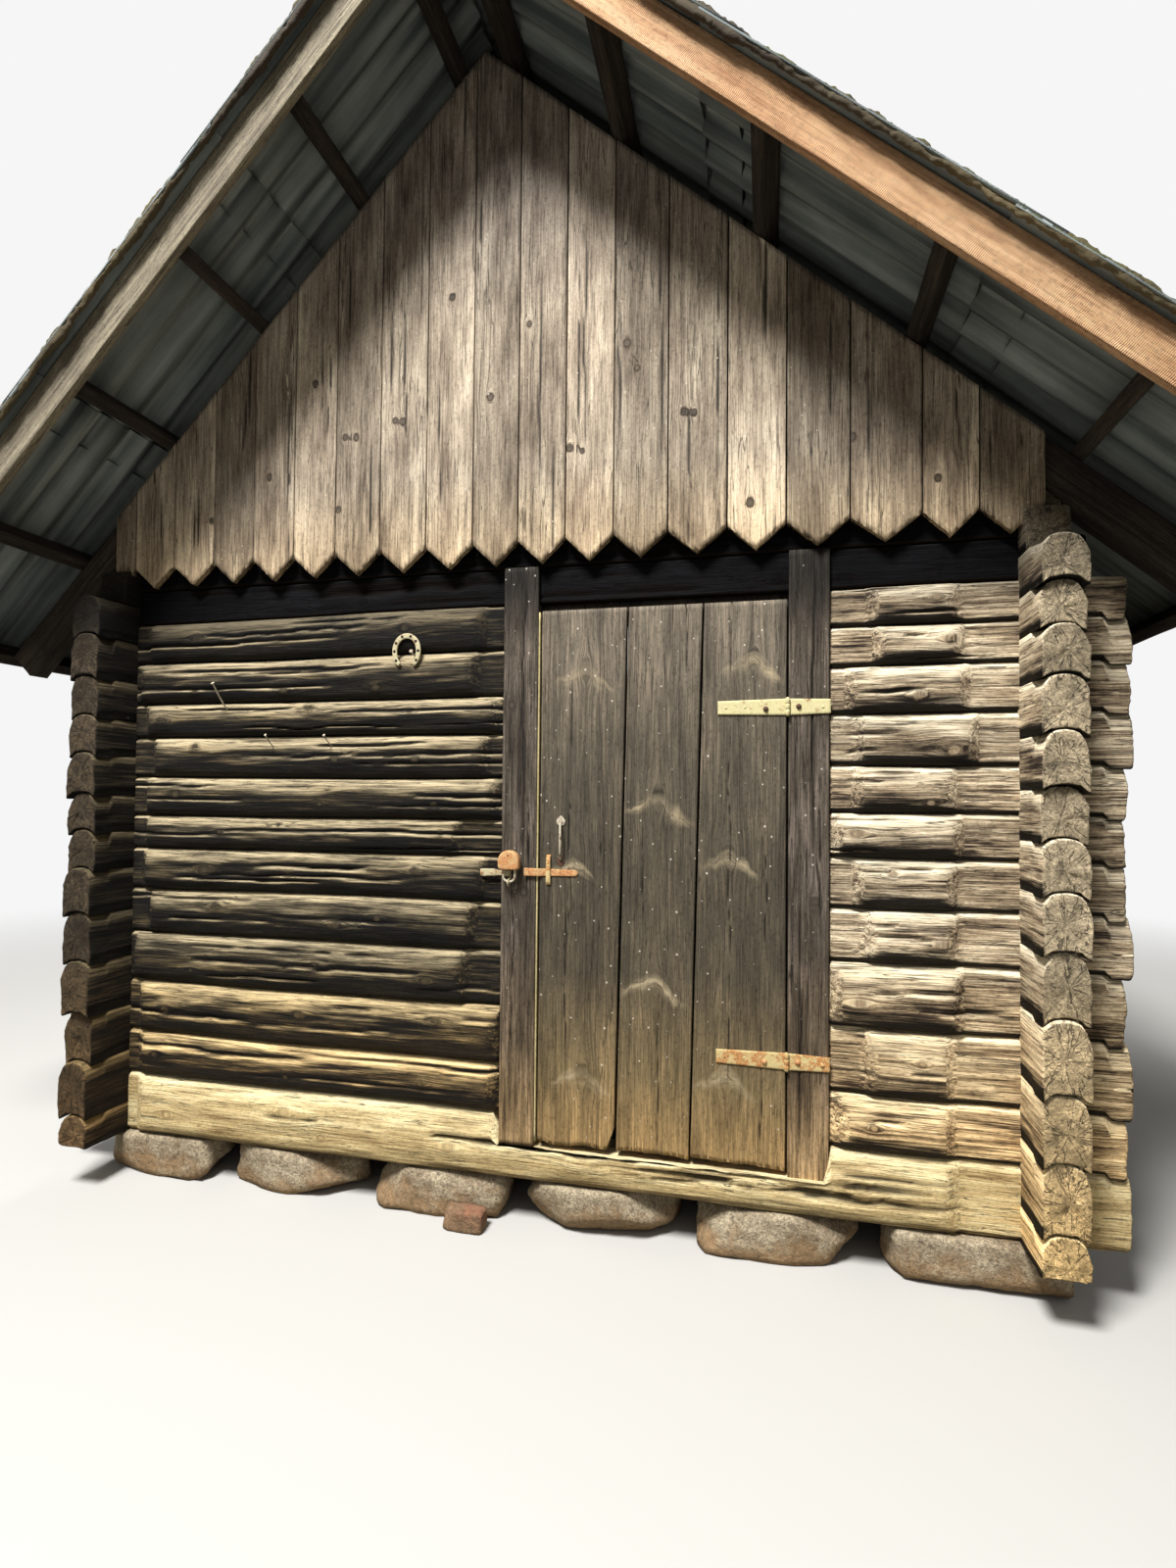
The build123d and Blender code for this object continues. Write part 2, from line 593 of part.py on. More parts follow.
def padlock_case():
    """Arch-topped case of the padlock, hung with its shackle below."""
    half = LOCK_W / 2
    turns = [pi * i / BOW_FLATS for i in range(BOW_FLATS + 1)]
    arch = [(half * cos(a), LOCK_SIDE + (LOCK_H - LOCK_SIDE) * sin(a)) for a in turns]
    case = extrude(make_face(Polyline((-half, 0), (half, 0), *arch, close=True)), LOCK_T)
    return Pos(LOCK_X, LOCK_Y + LOCK_T / 2, LEAF_Z + LOCK_LOW) * Rot(90, 0, 0) * case


def padlock_shackle():
    """Bow below the case, bent in short flats."""
    top = LEAF_Z + LOCK_LOW
    half = SHACKLE_SPAN / 2
    low = top - SHACKLE_DROP + half
    turns = [pi * i / BOW_FLATS for i in range(BOW_FLATS + 1)]
    bend = [(LOCK_X - half * cos(a), LOCK_Y, low - half * sin(a)) for a in turns]
    path = Polyline((LOCK_X - half, LOCK_Y, top), *bend, (LOCK_X + half, LOCK_Y, top))
    rod = Plane((LOCK_X - half, LOCK_Y, top), z_dir=(0, 0, -1)) * RegularPolygon(SHACKLE_R, ROD_FLATS)
    return sweep(rod, path=path, transition=Transition.RIGHT)


def eye_strap():
    """Strap nailed over the log ends and the latch post, with the eye that holds the padlock."""
    z = LEAF_Z + EYE_Z
    eye_x = LOCK_X
    strap = block(EYE_STRAP_LEFT, eye_x, FACE_Y - HASP_T, FACE_Y, z - HASP_H / 2, z + HASP_H / 2)
    reach = FACE_Y - LOCK_Y + SHACKLE_R + HASP_H / 4
    hole_z = LEAF_Z + LOCK_LOW - SHACKLE_DROP
    eye = block(eye_x - HASP_T, eye_x, FACE_Y - reach, FACE_Y, hole_z - HASP_H / 2, z + HASP_H / 2)
    hole = extrude(RegularPolygon(SHACKLE_R + EYE_PLAY, ROD_FLATS), 2 * HASP_T, both=True)
    return strap + (eye - Pos(eye_x, LOCK_Y, hole_z) * Rot(0, 90, 0) * hole)


SHOE_X = -392.0
SHOE_UP = 6.0  # its middle over a joint of the wall
SHOE_Z = LEFT_JOINTS[-4] + SHOE_UP
SHOE_W = 107.0
SHOE_H = 122.0
SHOE_MOUTH = 46.0
SHOE_FLATS = 16


def oval(width, height):
    """Face of an ellipse in flats."""
    turns = [2 * pi * i / SHOE_FLATS for i in range(SHOE_FLATS)]
    return make_face(Polyline(*[(width / 2 * sin(a), height / 2 * cos(a)) for a in turns],
                              close=True))


def horseshoe():
    """Old horseshoe hung on the wall, open side down, its top on the round of a log."""
    iron = oval(SHOE_W, SHOE_H)
    iron -= Pos(0, -SHOE_BAND / 4) * oval(SHOE_W - 2 * SHOE_BAND, SHOE_H - 2 * SHOE_BAND)
    iron -= Pos(0, -SHOE_H / 2) * Rectangle(SHOE_MOUTH, SHOE_H / 3)
    reach = round_at(SHOE_Z + SHOE_H / 2, LEFT_JOINTS[-4], LEFT_JOINTS[-3] - LOG_GAP)
    y = -FRONT_AXIS - reach - NOTCH_GAP
    return Pos(SHOE_X, y, SHOE_Z) * Rot(90, 0, 0) * extrude(iron, SHOE_T)


def rafters(slope):
    """Rafters with a level seat over the wall plate, clear of the round log under it."""
    first = HALF_Y + POST_PROUD - RAFTER_W / 2
    step = 2 * first / (RAFTER_PAIRS - 1)
    pieces = []
    for index in range(RAFTER_PAIRS):
        y = -first + index * step
        y0, y1 = y - RAFTER_W, y + RAFTER_W
        rafter = slope.mitred(slope.block(-2 * RAFTER_D, slope.foot - TAIL_BACK, y - RAFTER_W / 2,
                                          y + RAFTER_W / 2, -RAFTER_D, 0))
        rafter -= block(slope.wall - LOG_T, slope.wall + NOTCH_GAP, y0, y1, FOOT_H,
                        PLATE_TOP - LOG_GAP)
        rafter -= block(slope.wall, slope.wall + BELLY + NOTCH_GAP, y0, y1, FOOT_H, LEFT_SIDE[-2])
        pieces.append(slope.placed(rafter))
    return pieces


def battens(slope, places):
    """Battens from front to back over the rafters, the lowest near the eave."""
    end = BARGE_Y - BARGE_T
    pieces = []
    for x in (*places, slope.eave - BATTEN_EAVE):
        u = x / slope.c
        batten = slope.block(u - BATTEN_W / 2, u + BATTEN_W / 2, -end, end, 0, BATTEN_D)
        pieces.append(slope.placed(batten))
    return pieces


def wavy_sheets(slope):
    """Corrugated sheets, their waves running down the slope and a crest over each barge board."""
    inner = BARGE_Y - BARGE_T
    flat = 2 * inner / (4 * WAVES - 1)
    crest = SHEET_LOW + WAVE_D
    under = [(-VERGE_Y, crest)]
    for n in range(WAVES):
        y = -inner + 4 * n * flat
        under += [(y, crest), (y + flat, SHEET_LOW), (y + 2 * flat, SHEET_LOW), (y + 3 * flat, crest)]
    under.append((VERGE_Y, crest))
    over = [(y, w + SHEET_T) for y, w in reversed(under)]
    section = Plane.YZ * make_face(Polyline(*under, *over, close=True))
    start = (RIDGE_GAP - BATTEN_D * slope.s) / slope.c
    sheet = extrude(section, slope.foot - start, dir=(1, 0, 0))
    return slope.placed(slope.plane * (Pos(start, 0, 0) * sheet))


def over_ridge(w):
    """Where the planes of both slopes at this height over the battens' underside meet."""
    across = RIGHT.s * LEFT.c + RIGHT.c * LEFT.s
    return RIDGE_X + w * (LEFT.c - RIGHT.c) / across, RIDGE_Z + w * (LEFT.s + RIGHT.s) / across


def ridge_cap():
    """Bent cap over the upper ends of the sheets."""
    low = SHEET_TOP + SHEET_REST
    outline = []
    for w, slopes in ((low, (LEFT, RIGHT)), (low + CAP_T, (RIGHT, LEFT))):
        ends = [(RIDGE_X + slope.side * (CAP_WING * slope.c + w * slope.s),
                 RIDGE_Z - CAP_WING * slope.s + w * slope.c) for slope in slopes]
        outline += [ends[0], over_ridge(w), ends[1]]
    return extrude(Plane.XZ * make_face(Polyline(*outline, close=True)), VERGE_Y, both=True)


def barge_board(slope):
    """Front barge board, from the ridge to the eave, its top under the sheets' outer crest."""
    top = SHEET_LOW + WAVE_D - SHEET_REST
    board = slope.block(-2 * BARGE_H, slope.foot - BARGE_BACK, -BARGE_Y, -BARGE_Y + BARGE_T,
                        top - BARGE_H, top)
    return slope.placed(slope.mitred(board))


def gable_boards():
    """Front gable: upright boards with pointed feet, grooved at their seams."""
    seams = running(BOARD_LEFT, fitted(BOARD_W, BOARD_RIGHT - BOARD_LEFT))
    notch_z = BOARD_TIP_Z + POINT_H
    foot = []
    for left, right in zip(seams, seams[1:]):
        foot += [(left, notch_z), ((left + right) / 2, BOARD_TIP_Z)]
    foot.append((seams[-1], notch_z))
    top = [(seams[-1], RIGHT.under(seams[-1] - RIDGE_X)), (RIDGE_X, RIDGE_Z),
           (seams[0], LEFT.under(RIDGE_X - seams[0]))]
    panel = extrude(Plane.XZ * make_face(Polyline(*foot, *top, close=True)), BOARD_T / 2, both=True)
    panel = Pos(0, FACE_Y - BOARD_T / 2, 0) * panel
    face = FACE_Y - BOARD_T
    grooves = [block(x - BOARD_GROOVE / 2, x + BOARD_GROOVE / 2, face - 1, face + BOARD_GROOVE,
                     FOOT_H, RIDGE_Z) for x in seams[1:-1]]
    return panel - grooves


FLOOR_X = HALF_X - LOG_T - FLOOR_GAP
FLOOR_Y = HALF_Y - LOG_T - FLOOR_GAP
FLOOR_TOP = THRESHOLD_Z - FLOOR_DROP
FLOOR_BOARDS = 14


def floor_boards():
    """Floor of boards from front to back, grooved at their seams."""
    floor = block(-FLOOR_X, FLOOR_X, -FLOOR_Y, FLOOR_Y, FLOOR_TOP - FLOOR_T, FLOOR_TOP)
    width = 2 * FLOOR_X / FLOOR_BOARDS
    grooves = [block(-FLOOR_X + n * width - BOARD_GROOVE / 2, -FLOOR_X + n * width + BOARD_GROOVE / 2,
                     -HALF_Y, HALF_Y, FLOOR_TOP - BOARD_GROOVE, FLOOR_TOP + 1)
               for n in range(1, FLOOR_BOARDS)]
    return floor - grooves


SIDE_STONE_L = 460.0
PAD = 240.0


def joist_places():
    """Where the joists lie, front to back, the outer ones just inside the corner stones."""
    first = HALF_Y + STONE_OUT - STONE_DEEP - STONE_GAP - SIDE_STONE_L / 2
    step = 2 * first / (JOISTS - 1)
    return [-first + n * step for n in range(JOISTS)]


def joists():
    """Joists from side to side, on the footing stones."""
    return [block(-FLOOR_X, FLOOR_X, y - JOIST_W / 2, y + JOIST_W / 2, FOOT_H, FLOOR_TOP - FLOOR_T)
            for y in joist_places()]


def stone(x0, x1, y0, y1):
    """Field stone with broken corners, flat on top and spreading a little towards the ground."""
    foot = Rectangle(x1 - x0, y1 - y0)
    foot = chamfer(foot.vertices(), STONE_CUT)
    return Pos((x0 + x1) / 2, (y0 + y1) / 2, 0) * extrude(foot, FOOT_H, taper=STONE_TAPER)


FRONT_STONES = 6


def footing_row():
    """Stones under the front wall, from corner to corner."""
    reach = HALF_X + STONE_OUT
    width = (2 * reach - (FRONT_STONES - 1) * STONE_GAP) / FRONT_STONES
    y0 = -HALF_Y - STONE_OUT
    return [stone(-reach + n * (width + STONE_GAP), -reach + n * (width + STONE_GAP) + width,
                  y0, y0 + STONE_DEEP) for n in range(FRONT_STONES)]


def footing_side():
    """Stones under the right wall, one at each joist's end."""
    x1 = HALF_X + STONE_OUT
    return [stone(x1 - STONE_DEEP, x1, y - SIDE_STONE_L / 2, y + SIDE_STONE_L / 2)
            for y in joist_places()]


def joist_pads():
    """Stones under the middle of the joists."""
    return [stone(-PAD / 2, PAD / 2, y - PAD / 2, y + PAD / 2) for y in joist_places()]


def mirrored(shapes, plane):
    """The same pieces on the other side."""
    return [mirror(shape, about=plane) for shape in shapes]


plank_1, plank_2, plank_3 = door_planks()
front_stones = footing_row()
side_stones = footing_side()
barges = [barge_board(RIGHT), barge_board(LEFT)]
gable = gable_boards()

nodes = {
    "footing_front": front_stones,
    "footing_back": mirrored(front_stones, Plane.XZ),
    "footing_right": side_stones,
    "footing_left": mirrored(side_stones, Plane.YZ),
    "joist_pads": joist_pads(),
    "floor_joists": joists(),
    "floor": [floor_boards()],
    "sill_front": [sill_front()],
    "front_wall_left": front_logs("left"),
    "front_wall_right": front_logs("right"),
    "front_wall_over_door": lintel_logs(),
    "left_wall": side_logs("left"),
    "right_wall": side_logs("right"),
    "back_wall": back_logs(),
    "latch_post": [post("latch")],
    "hinge_post": [post("hinge")],
    "door_head": [door_head()],
    "rafters_right": rafters(RIGHT),
    "rafters_left": rafters(LEFT),
    "battens_right": battens(RIGHT, RIGHT_BATTENS),
    "battens_left": battens(LEFT, LEFT_BATTENS),
    "roof_sheets_right": [wavy_sheets(RIGHT)],
    "roof_sheets_left": [wavy_sheets(LEFT)],
    "ridge_cap": [ridge_cap()],
    "barge_front_right": [barges[0]],
    "barge_front_left": [barges[1]],
    "barge_back_right": mirrored(barges[:1], Plane.XZ),
    "barge_back_left": mirrored(barges[1:], Plane.XZ),
    "gable_front": [gable],
    "gable_back": mirrored([gable], Plane.XZ),
    "hinge_plate_lower": [hinge_plate(HINGE_HEIGHTS[0])],
    "hinge_plate_upper": [hinge_plate(HINGE_HEIGHTS[1])],
    "eye_strap": [eye_strap()],
    "padlock_case": [padlock_case()],
    "padlock_shackle": [padlock_shackle()],
    "horseshoe": [horseshoe()],
    "door_plank_1": [plank_1],
    "door_plank_2": [plank_2],
    "door_plank_3": [plank_3],
    "door_ledges": door_ledges(),
    "hinge_strap_lower": [hinge_strap(HINGE_HEIGHTS[0])],
    "hinge_strap_upper": [hinge_strap(HINGE_HEIGHTS[1])],
    "door_pull": [door_pull()],
    "hasp": [hasp()],
    "keeper": [keeper()],
}

for name, shapes in nodes.items():
    solids = [solid for shape in shapes for solid in shape.solids()]
    export_step(Compound(solids) if len(solids) > 1 else solids[0], f"parts/{name}.step")
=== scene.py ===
"""Log storehouse dressed for rendering: logs, boards, sheets, iron and stone over the CAD frame."""
import logging
from dataclasses import dataclass, field, replace
from enum import Enum
from math import atan2, cos, radians, sin, tan
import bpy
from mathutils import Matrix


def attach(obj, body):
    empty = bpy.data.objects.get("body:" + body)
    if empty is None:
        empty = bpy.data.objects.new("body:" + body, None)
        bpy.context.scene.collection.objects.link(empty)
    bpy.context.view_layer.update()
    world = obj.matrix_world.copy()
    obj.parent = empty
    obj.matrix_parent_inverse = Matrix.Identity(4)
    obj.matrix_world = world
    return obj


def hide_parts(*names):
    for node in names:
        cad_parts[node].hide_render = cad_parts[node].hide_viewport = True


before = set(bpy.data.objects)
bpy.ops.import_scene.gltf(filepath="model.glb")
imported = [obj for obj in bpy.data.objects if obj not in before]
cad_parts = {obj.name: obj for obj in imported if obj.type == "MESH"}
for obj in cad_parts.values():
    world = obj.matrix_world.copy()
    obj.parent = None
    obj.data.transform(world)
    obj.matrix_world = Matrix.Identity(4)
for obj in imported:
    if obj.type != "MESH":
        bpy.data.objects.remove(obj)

from types import SimpleNamespace
from typing import Callable, Iterable, Sequence

import bpy
import numpy as np
from mathutils import Matrix, Vector

LOG = logging.getLogger("storehouse")
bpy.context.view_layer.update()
Array = np.ndarray
Ends = Callable[[Array, Array], Array]
Material = bpy.types.Material
Socket = bpy.types.NodeSocket
Layer = tuple[Socket | None, object]
# the setting that tells what a node of this type does
MODES = {"Math": "operation", "VectorMath": "operation", "Mix": "data_type"}


def linear(code: str) -> tuple[float, float, float, float]:
    """sRGB hex colour as linear red, green, blue and alpha.

    Args:
        code: Six hex digits.

    Returns:
        The colour that a shader socket takes.
    """
    parts = [int(code[at:at + 2], 16) / 255 for at in (0, 2, 4)]
    red, green, blue = (p / 12.92 if p <= 0.04045 else ((p + 0.055) / 1.055) ** 2.4 for p in parts)
    return (red, green, blue, 1.0)


def lumps(places: Array, cell: Sequence[float] | float, seed: int) -> Array:
    """Smooth random heights from -1 to 1: numbers hashed at lattice corners, eased in between.

    Args:
        places: Points in metres, last axis of three.
        cell: Lattice spacing in metres, one number or one for each axis.
        seed: Picks the pattern.

    Returns:
        One height for each point.
    """
    scaled = places / np.asarray(cell, dtype=float)
    low = np.floor(scaled).astype(np.int64)
    part = scaled - low
    part = part * part * (3 - 2 * part)
    total = np.zeros(places.shape[:-1])
    for corner in range(8):
        step = np.array([corner & 1, corner >> 1 & 1, corner >> 2 & 1])
        spot = low + step
        mix = spot[..., 0] * 73856093 ^ spot[..., 1] * 19349663 ^ spot[..., 2] * 83492791
        mix = (mix ^ seed * 40503 + 977) & 0xFFFFFFFF
        mix = (mix ^ mix >> 15) * 2246822519 & 0xFFFFFFFF
        mix = (mix ^ mix >> 13) * 3266489917 & 0xFFFFFFFF
        value = ((mix ^ mix >> 16) & 0xFFFF) / 32767.5 - 1
        total += np.prod(np.where(step == 1, part, 1 - part), axis=-1) * value
    return total


def ease(value: Array, low: float, high: float) -> Array:
    """Zero below low, one above high and a smooth S between them."""
    part = np.clip((value - low) / (high - low), 0.0, 1.0)
    return part * part * (3 - 2 * part)


def steps(start: float, stop: float, size: float) -> Array:
    """Evenly spaced places from start to stop, about size apart."""
    return np.linspace(start, stop, max(2, int(round(abs(stop - start) / size)) + 1))


def stacked(*parts: Array) -> Array:
    """The parts' last axes side by side, as coordinates."""
    return np.stack(np.broadcast_arrays(*parts), axis=-1)


@dataclass
class Marks:
    """Knots and drying cracks on the face of one timber, at (along, across) in metres."""

    knots: list[tuple[float, float, float]] = field(default_factory=list)
    cracks: list[tuple[float, float, float, float, float]] = field(default_factory=list)
    seed: int = 0

    def relief(self, along: Array, across: Array) -> tuple[Array, Array, Array]:
        """Height added to the face, the knot coordinates and how deep a crack is.

        A knot is a hump of exp(-(distance / 2 radii) squared) with a dip at its middle. A crack
        is a groove of 1 - (distance / half width) squared that runs out at both its ends.

        Args:
            along: Place along the grain.
            across: Place across the grain.

        Returns:
            Height in metres, (along, across, radius times strength) of the nearest knot in
            radii, and crack depth from 0 to 1.
        """
        height = np.zeros(np.broadcast(along, across).shape)
        knot = np.zeros(height.shape + (3,))
        nearest = np.full(height.shape, 1e9)
        for at, side, radius in self.knots:
            da = (along - at) / radius
            dc = (across - side) / radius
            far = np.sqrt(da * da + dc * dc)
            height += radius * (0.42 * np.exp(-(far / 2.0) ** 2) - 0.3 * np.exp(-(far / 0.55) ** 2))
            near = far < nearest
            nearest = np.where(near, far, nearest)
            fresh = stacked(da, dc, radius * (1 - ease(far, 4.0, 8.0)))
            knot = np.where(near[..., None], fresh, knot)
        split = np.zeros(height.shape)
        for index, (at, side, length, width, depth) in enumerate(self.cracks):
            wander = lumps(stacked(along, 0 * along, 0 * along + index), 0.16, self.seed) * 0.006
            fine = lumps(stacked(along, 0 * along, 0 * along + index), 0.05, self.seed + 5)
            wander += fine * 0.002
            taper = np.clip(1 - (2 * (along - at) / length) ** 2, 0, 1) ** 0.4
            groove = np.clip(1 - ((across - side - wander) / (width / 2)) ** 2, 0, 1) * taper
            split = np.maximum(split, groove)
            height -= groove * depth
        return height, knot, split


def scattered(seed: int, reach: tuple[float, float], width: tuple[float, float], knots: int,
        cracks: int, radius: float = 0.012, depth: float = 0.012) -> Marks:
    """Random knots and cracks over a face.

    Args:
        seed: Picks the marks.
        reach: Lowest and highest place along the grain.
        width: Lowest and highest place across it.
        knots: How many knots.
        cracks: How many cracks.
        radius: Mean knot radius.
        depth: Mean crack depth.

    Returns:
        The marks.
    """
    draw = np.random.default_rng(seed)
    marks = Marks(seed=seed)
    span = reach[1] - reach[0]
    for index in range(knots):
        at = reach[0] + span * (index + draw.uniform(0.15, 0.85)) / knots
        marks.knots.append((at, draw.uniform(*width) * 0.8, radius * draw.uniform(0.6, 1.4)))
    for index in range(cracks):
        marks.cracks.append((
            reach[0] + span * draw.uniform(0, 1), draw.uniform(*width),
            span * draw.uniform(0.2, 0.7), draw.uniform(0.006, 0.013),
            depth * draw.uniform(0.5, 1.4)))
    return marks


class Skin:
    """Closed grids gathered into one mesh, with the wood coordinates that the finishes read."""

    def __init__(self) -> None:
        """Start with nothing in it."""
        self.points: list[Array] = []
        self.corners: list[Array] = []
        self.wood: list[Array] = []
        self.knot: list[Array] = []
        self.state: list[Array] = []
        self.count = 0

    def add(self, points: Array, wood: Array | None = None, knot: Array | None = None,
            state: Array | None = None) -> None:
        """Add one closed solid: rows of a grid that join round, the first and last row a pole.

        Args:
            points: (rows, around, 3) places; all of the first row, and of the last, coincide.
            wood: Same shape: depth, across and along the grain from the pith.
            knot: Same shape: nearest knot's along, across and strength.
            state: Same shape: piece number, crack depth and end grain.
        """
        rows, around = points.shape[:2]
        index = np.arange((rows - 2) * around).reshape(rows - 2, around) + 1
        ahead = np.roll(index, -1, axis=1)
        quads = stacked(index[:-1], index[1:], ahead[1:], ahead[:-1]).reshape(-1, 4)
        last = (rows - 2) * around + 1
        first_fan = stacked(0 * index[0], index[0], ahead[0], ahead[0])
        last_fan = stacked(0 * index[0] + last, ahead[-1], index[-1], index[-1])
        flat = np.concatenate([points[0, :1], points[1:-1].reshape(-1, 3), points[-1, :1]])
        faces = np.concatenate([quads, first_fan, last_fan])
        middle = flat.mean(axis=0)
        a, b, c, d = (flat[faces[:, n]] - middle for n in range(4))
        volume = np.einsum("ij,ij->i", a, np.cross(b, c) + np.cross(c, d)).sum()
        if volume < 0:
            faces = faces[:, ::-1]
        self.points.append(flat)
        self.corners.append(faces + self.count)
        zero = np.zeros_like(points)
        for store, values in ((self.wood, wood), (self.knot, knot), (self.state, state)):
            data = zero if values is None else values
            store.append(np.concatenate([data[0, :1], data[1:-1].reshape(-1, 3), data[-1, :1]]))
        self.count += len(flat)

    def make(self, name: str, finish: Material, slot: str, body: str = "building",
            instead_of: Iterable[str] = ()) -> bpy.types.Object:
        """Turn what was added into one object that rides on its body.

        Args:
            name: The object's name.
            finish: Its material.
            slot: The record's material slot; not used.
            body: The CAD body that it rides on.
            instead_of: CAD nodes that it stands for.

        Returns:
            The object.
        """
        flat = np.concatenate(self.points)
        faces = np.concatenate(self.corners)
        three = (faces[:, 2] == faces[:, 3]) | (faces[:, 0] == faces[:, 1])
        first = np.where((faces[:, 0] == faces[:, 1])[:, None], faces[:, [1, 2, 3, 3]], faces)
        keep = np.ones((len(faces), 4), dtype=bool)
        keep[three, 3] = False
        sizes = keep.sum(axis=1)
        mesh = bpy.data.meshes.new(name)
        mesh.vertices.add(len(flat))
        mesh.vertices.foreach_set("co", flat.astype(np.float32).ravel())
        loops = first[keep]
        mesh.loops.add(len(loops))
        mesh.loops.foreach_set("vertex_index", loops.astype(np.int32))
        mesh.polygons.add(len(faces))
        starts = np.concatenate([[0], np.cumsum(sizes)[:-1]])
        mesh.polygons.foreach_set("loop_start", starts.astype(np.int32))
        mesh.polygons.foreach_set("use_smooth", np.ones(len(faces), dtype=bool))
        for label, store in (("wood", self.wood), ("knot", self.knot), ("state", self.state)):
            layer = mesh.attributes.new(label, "FLOAT_VECTOR", "POINT")
            layer.data.foreach_set("vector", np.concatenate(store).astype(np.float32).ravel())
        mesh.update(calc_edges=True)
        mesh.validate()
        piece = bpy.data.objects.new(name, mesh)
        bpy.context.scene.collection.objects.link(piece)
        mesh.materials.append(finish)
        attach(piece, body)
        if instead_of:
            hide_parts(*instead_of)
        LOG.info("%s: %d faces", name, len(faces))
        return piece


@dataclass
class Beam:
    """Sawn timber or forged bar: a worn rectangle carried along a line between shaped ends."""

    base: Sequence[float]
    along: Sequence[float]
    across: Sequence[float]
    width: float
    depth: float
    start: float | Ends
    stop: float | Ends
    seed: int
    step: float = 0.02
    cells: tuple[int, int] = (10, 2)
    edge: float = 0.002
    rough: float = 0.0015
    wave: float = 0.0
    taper: tuple[float, float, float, float] = (0.0, 0.0, 0.0, 0.0)
    pith: tuple[float, float] = (0.06, 0.02)
    marks: Marks = field(default_factory=Marks)

    def ring(self) -> tuple[Array, Array]:
        """Rectangle with cut corners, from -1 to 1, and its outward directions.

        Returns:
            Points (around, 2) as (across, depth) in metres, and unit directions.
        """
        half_w, half_d = self.width / 2, self.depth / 2
        w = np.linspace(-half_w + self.edge, half_w - self.edge, self.cells[0] + 1)
        d = np.linspace(-half_d + self.edge, half_d - self.edge, self.cells[1] + 1)
        ones_w, ones_d = np.ones_like(w), np.ones_like(d)
        sides = [(w, half_d * ones_w, 0, 1), (half_w * ones_d, d[::-1], 1, 0),
                (w[::-1], -half_d * ones_w, 0, -1), (-half_w * ones_d, d, -1, 0)]
        points = np.concatenate([stacked(x, y) for x, y, _, _ in sides])
        ways = np.concatenate([np.tile((nx, ny), (len(x), 1)) for x, _, nx, ny in sides])
        return points, ways.astype(float)

    def lay(self, skin: Skin) -> None:
        """Add the timber to the skin.

        A point is base + across * (width part) + face * (depth part) + along * (place), where
        place runs from start(across, depth) to stop(across, depth).

        Args:
            skin: What it is added to.
        """
        ring, ways = self.ring()
        along = np.asarray(self.along, dtype=float)
        across = np.asarray(self.across, dtype=float)
        face = np.cross(across, along)
        ends = [self.start, self.stop]
        first, last = (float(np.mean(e(np.zeros(1), np.zeros(1)))) if callable(e) else e
                for e in ends)
        share = steps(0.0, 1.0, self.step / max(abs(last - first), 1e-6))
        inset = np.array([0.0, 0.5, 0.9])
        small = 1 - 2 * self.edge / max(self.depth, 4 * self.edge)
        shrink = np.concatenate([inset, [small], np.ones(len(share)), [small], inset[::-1]])
        part = np.concatenate([np.zeros(4), share, np.ones(4)])
        end = np.concatenate([np.ones(4), np.zeros(len(share)), np.ones(4)])
        w = ring[None, :, 0] * shrink[:, None]
        d = ring[None, :, 1] * shrink[:, None]
        part, end = part[:, None] + 0 * w, end[:, None] + 0 * w
        low_off, low_wide, high_off, high_wide = self.taper
        wide = 1 + low_wide + (high_wide - low_wide) * part
        shift = low_off + (high_off - low_off) * part
        w = w * wide + shift
        begin, finish = (e(w, d) if callable(e) else e + 0 * w for e in ends)
        place = begin + (finish - begin) * part
        height, knot, split = self.marks.relief(place, w)
        front = np.clip(ways[None, :, 1], 0, 1) * (1 - end)
        spot = stacked(w, d, place)
        grit = lumps(spot, (0.012, 0.012, 0.16), self.seed) * 0.5 + 0.5
        fine = lumps(spot, (0.004, 0.004, 0.05), self.seed + 3) * 0.5 + 0.5
        grit = grit * self.rough + fine * self.rough * 0.5
        lift = np.minimum(height, 0.0005) * front - grit * (1 - end)
        bow = lumps(stacked(place, 0 * place, 0 * place), 0.7, self.seed + 7) * self.wave
        w2 = w + ways[None, :, 0] * lift
        d2 = d + ways[None, :, 1] * lift - (abs(bow) * (1 - end))
        points = (np.asarray(self.base, dtype=float) + across * w2[..., None] + face * d2[..., None]
                + along * place[..., None])
        wood = stacked(d + self.pith[0], w + self.pith[1], place)
        state = stacked(0 * w + (self.seed * 0.6180339) % 1.0, split * front, end)
        skin.add(points, wood, knot * front[..., None], state)


def tube(path: Array, radius: Array | float, sides: int = 12) -> Array:
    """Round bar: circles square to the path, turned as little as possible from one to the next.

    Args:
        path: (points, 3) middle line.
        radius: Its radius, one or one for each point.
        sides: Points in a circle.

    Returns:
        (points + 2, sides, 3) grid with a pole at both ends.
    """
    ahead = np.gradient(path, axis=0)
    ahead /= np.linalg.norm(ahead, axis=1)[:, None]
    side = np.cross(ahead, (0.31, 0.87, 0.38))
    side /= np.linalg.norm(side, axis=1)[:, None]
    other = np.cross(ahead, side)
    angle = np.linspace(0, 2 * np.pi, sides, endpoint=False)
    reach = (np.zeros(len(path)) + radius)[:, None, None]
    c, s = np.cos(angle)[None, :, None], np.sin(angle)[None, :, None]
    rings = path[:, None] + reach * (c * side[:, None] + s * other[:, None])
    caps = [np.repeat(path[None, :1], sides, axis=1), np.repeat(path[None, -1:], sides, axis=1)]
    return np.concatenate([caps[0], rings, caps[1]])


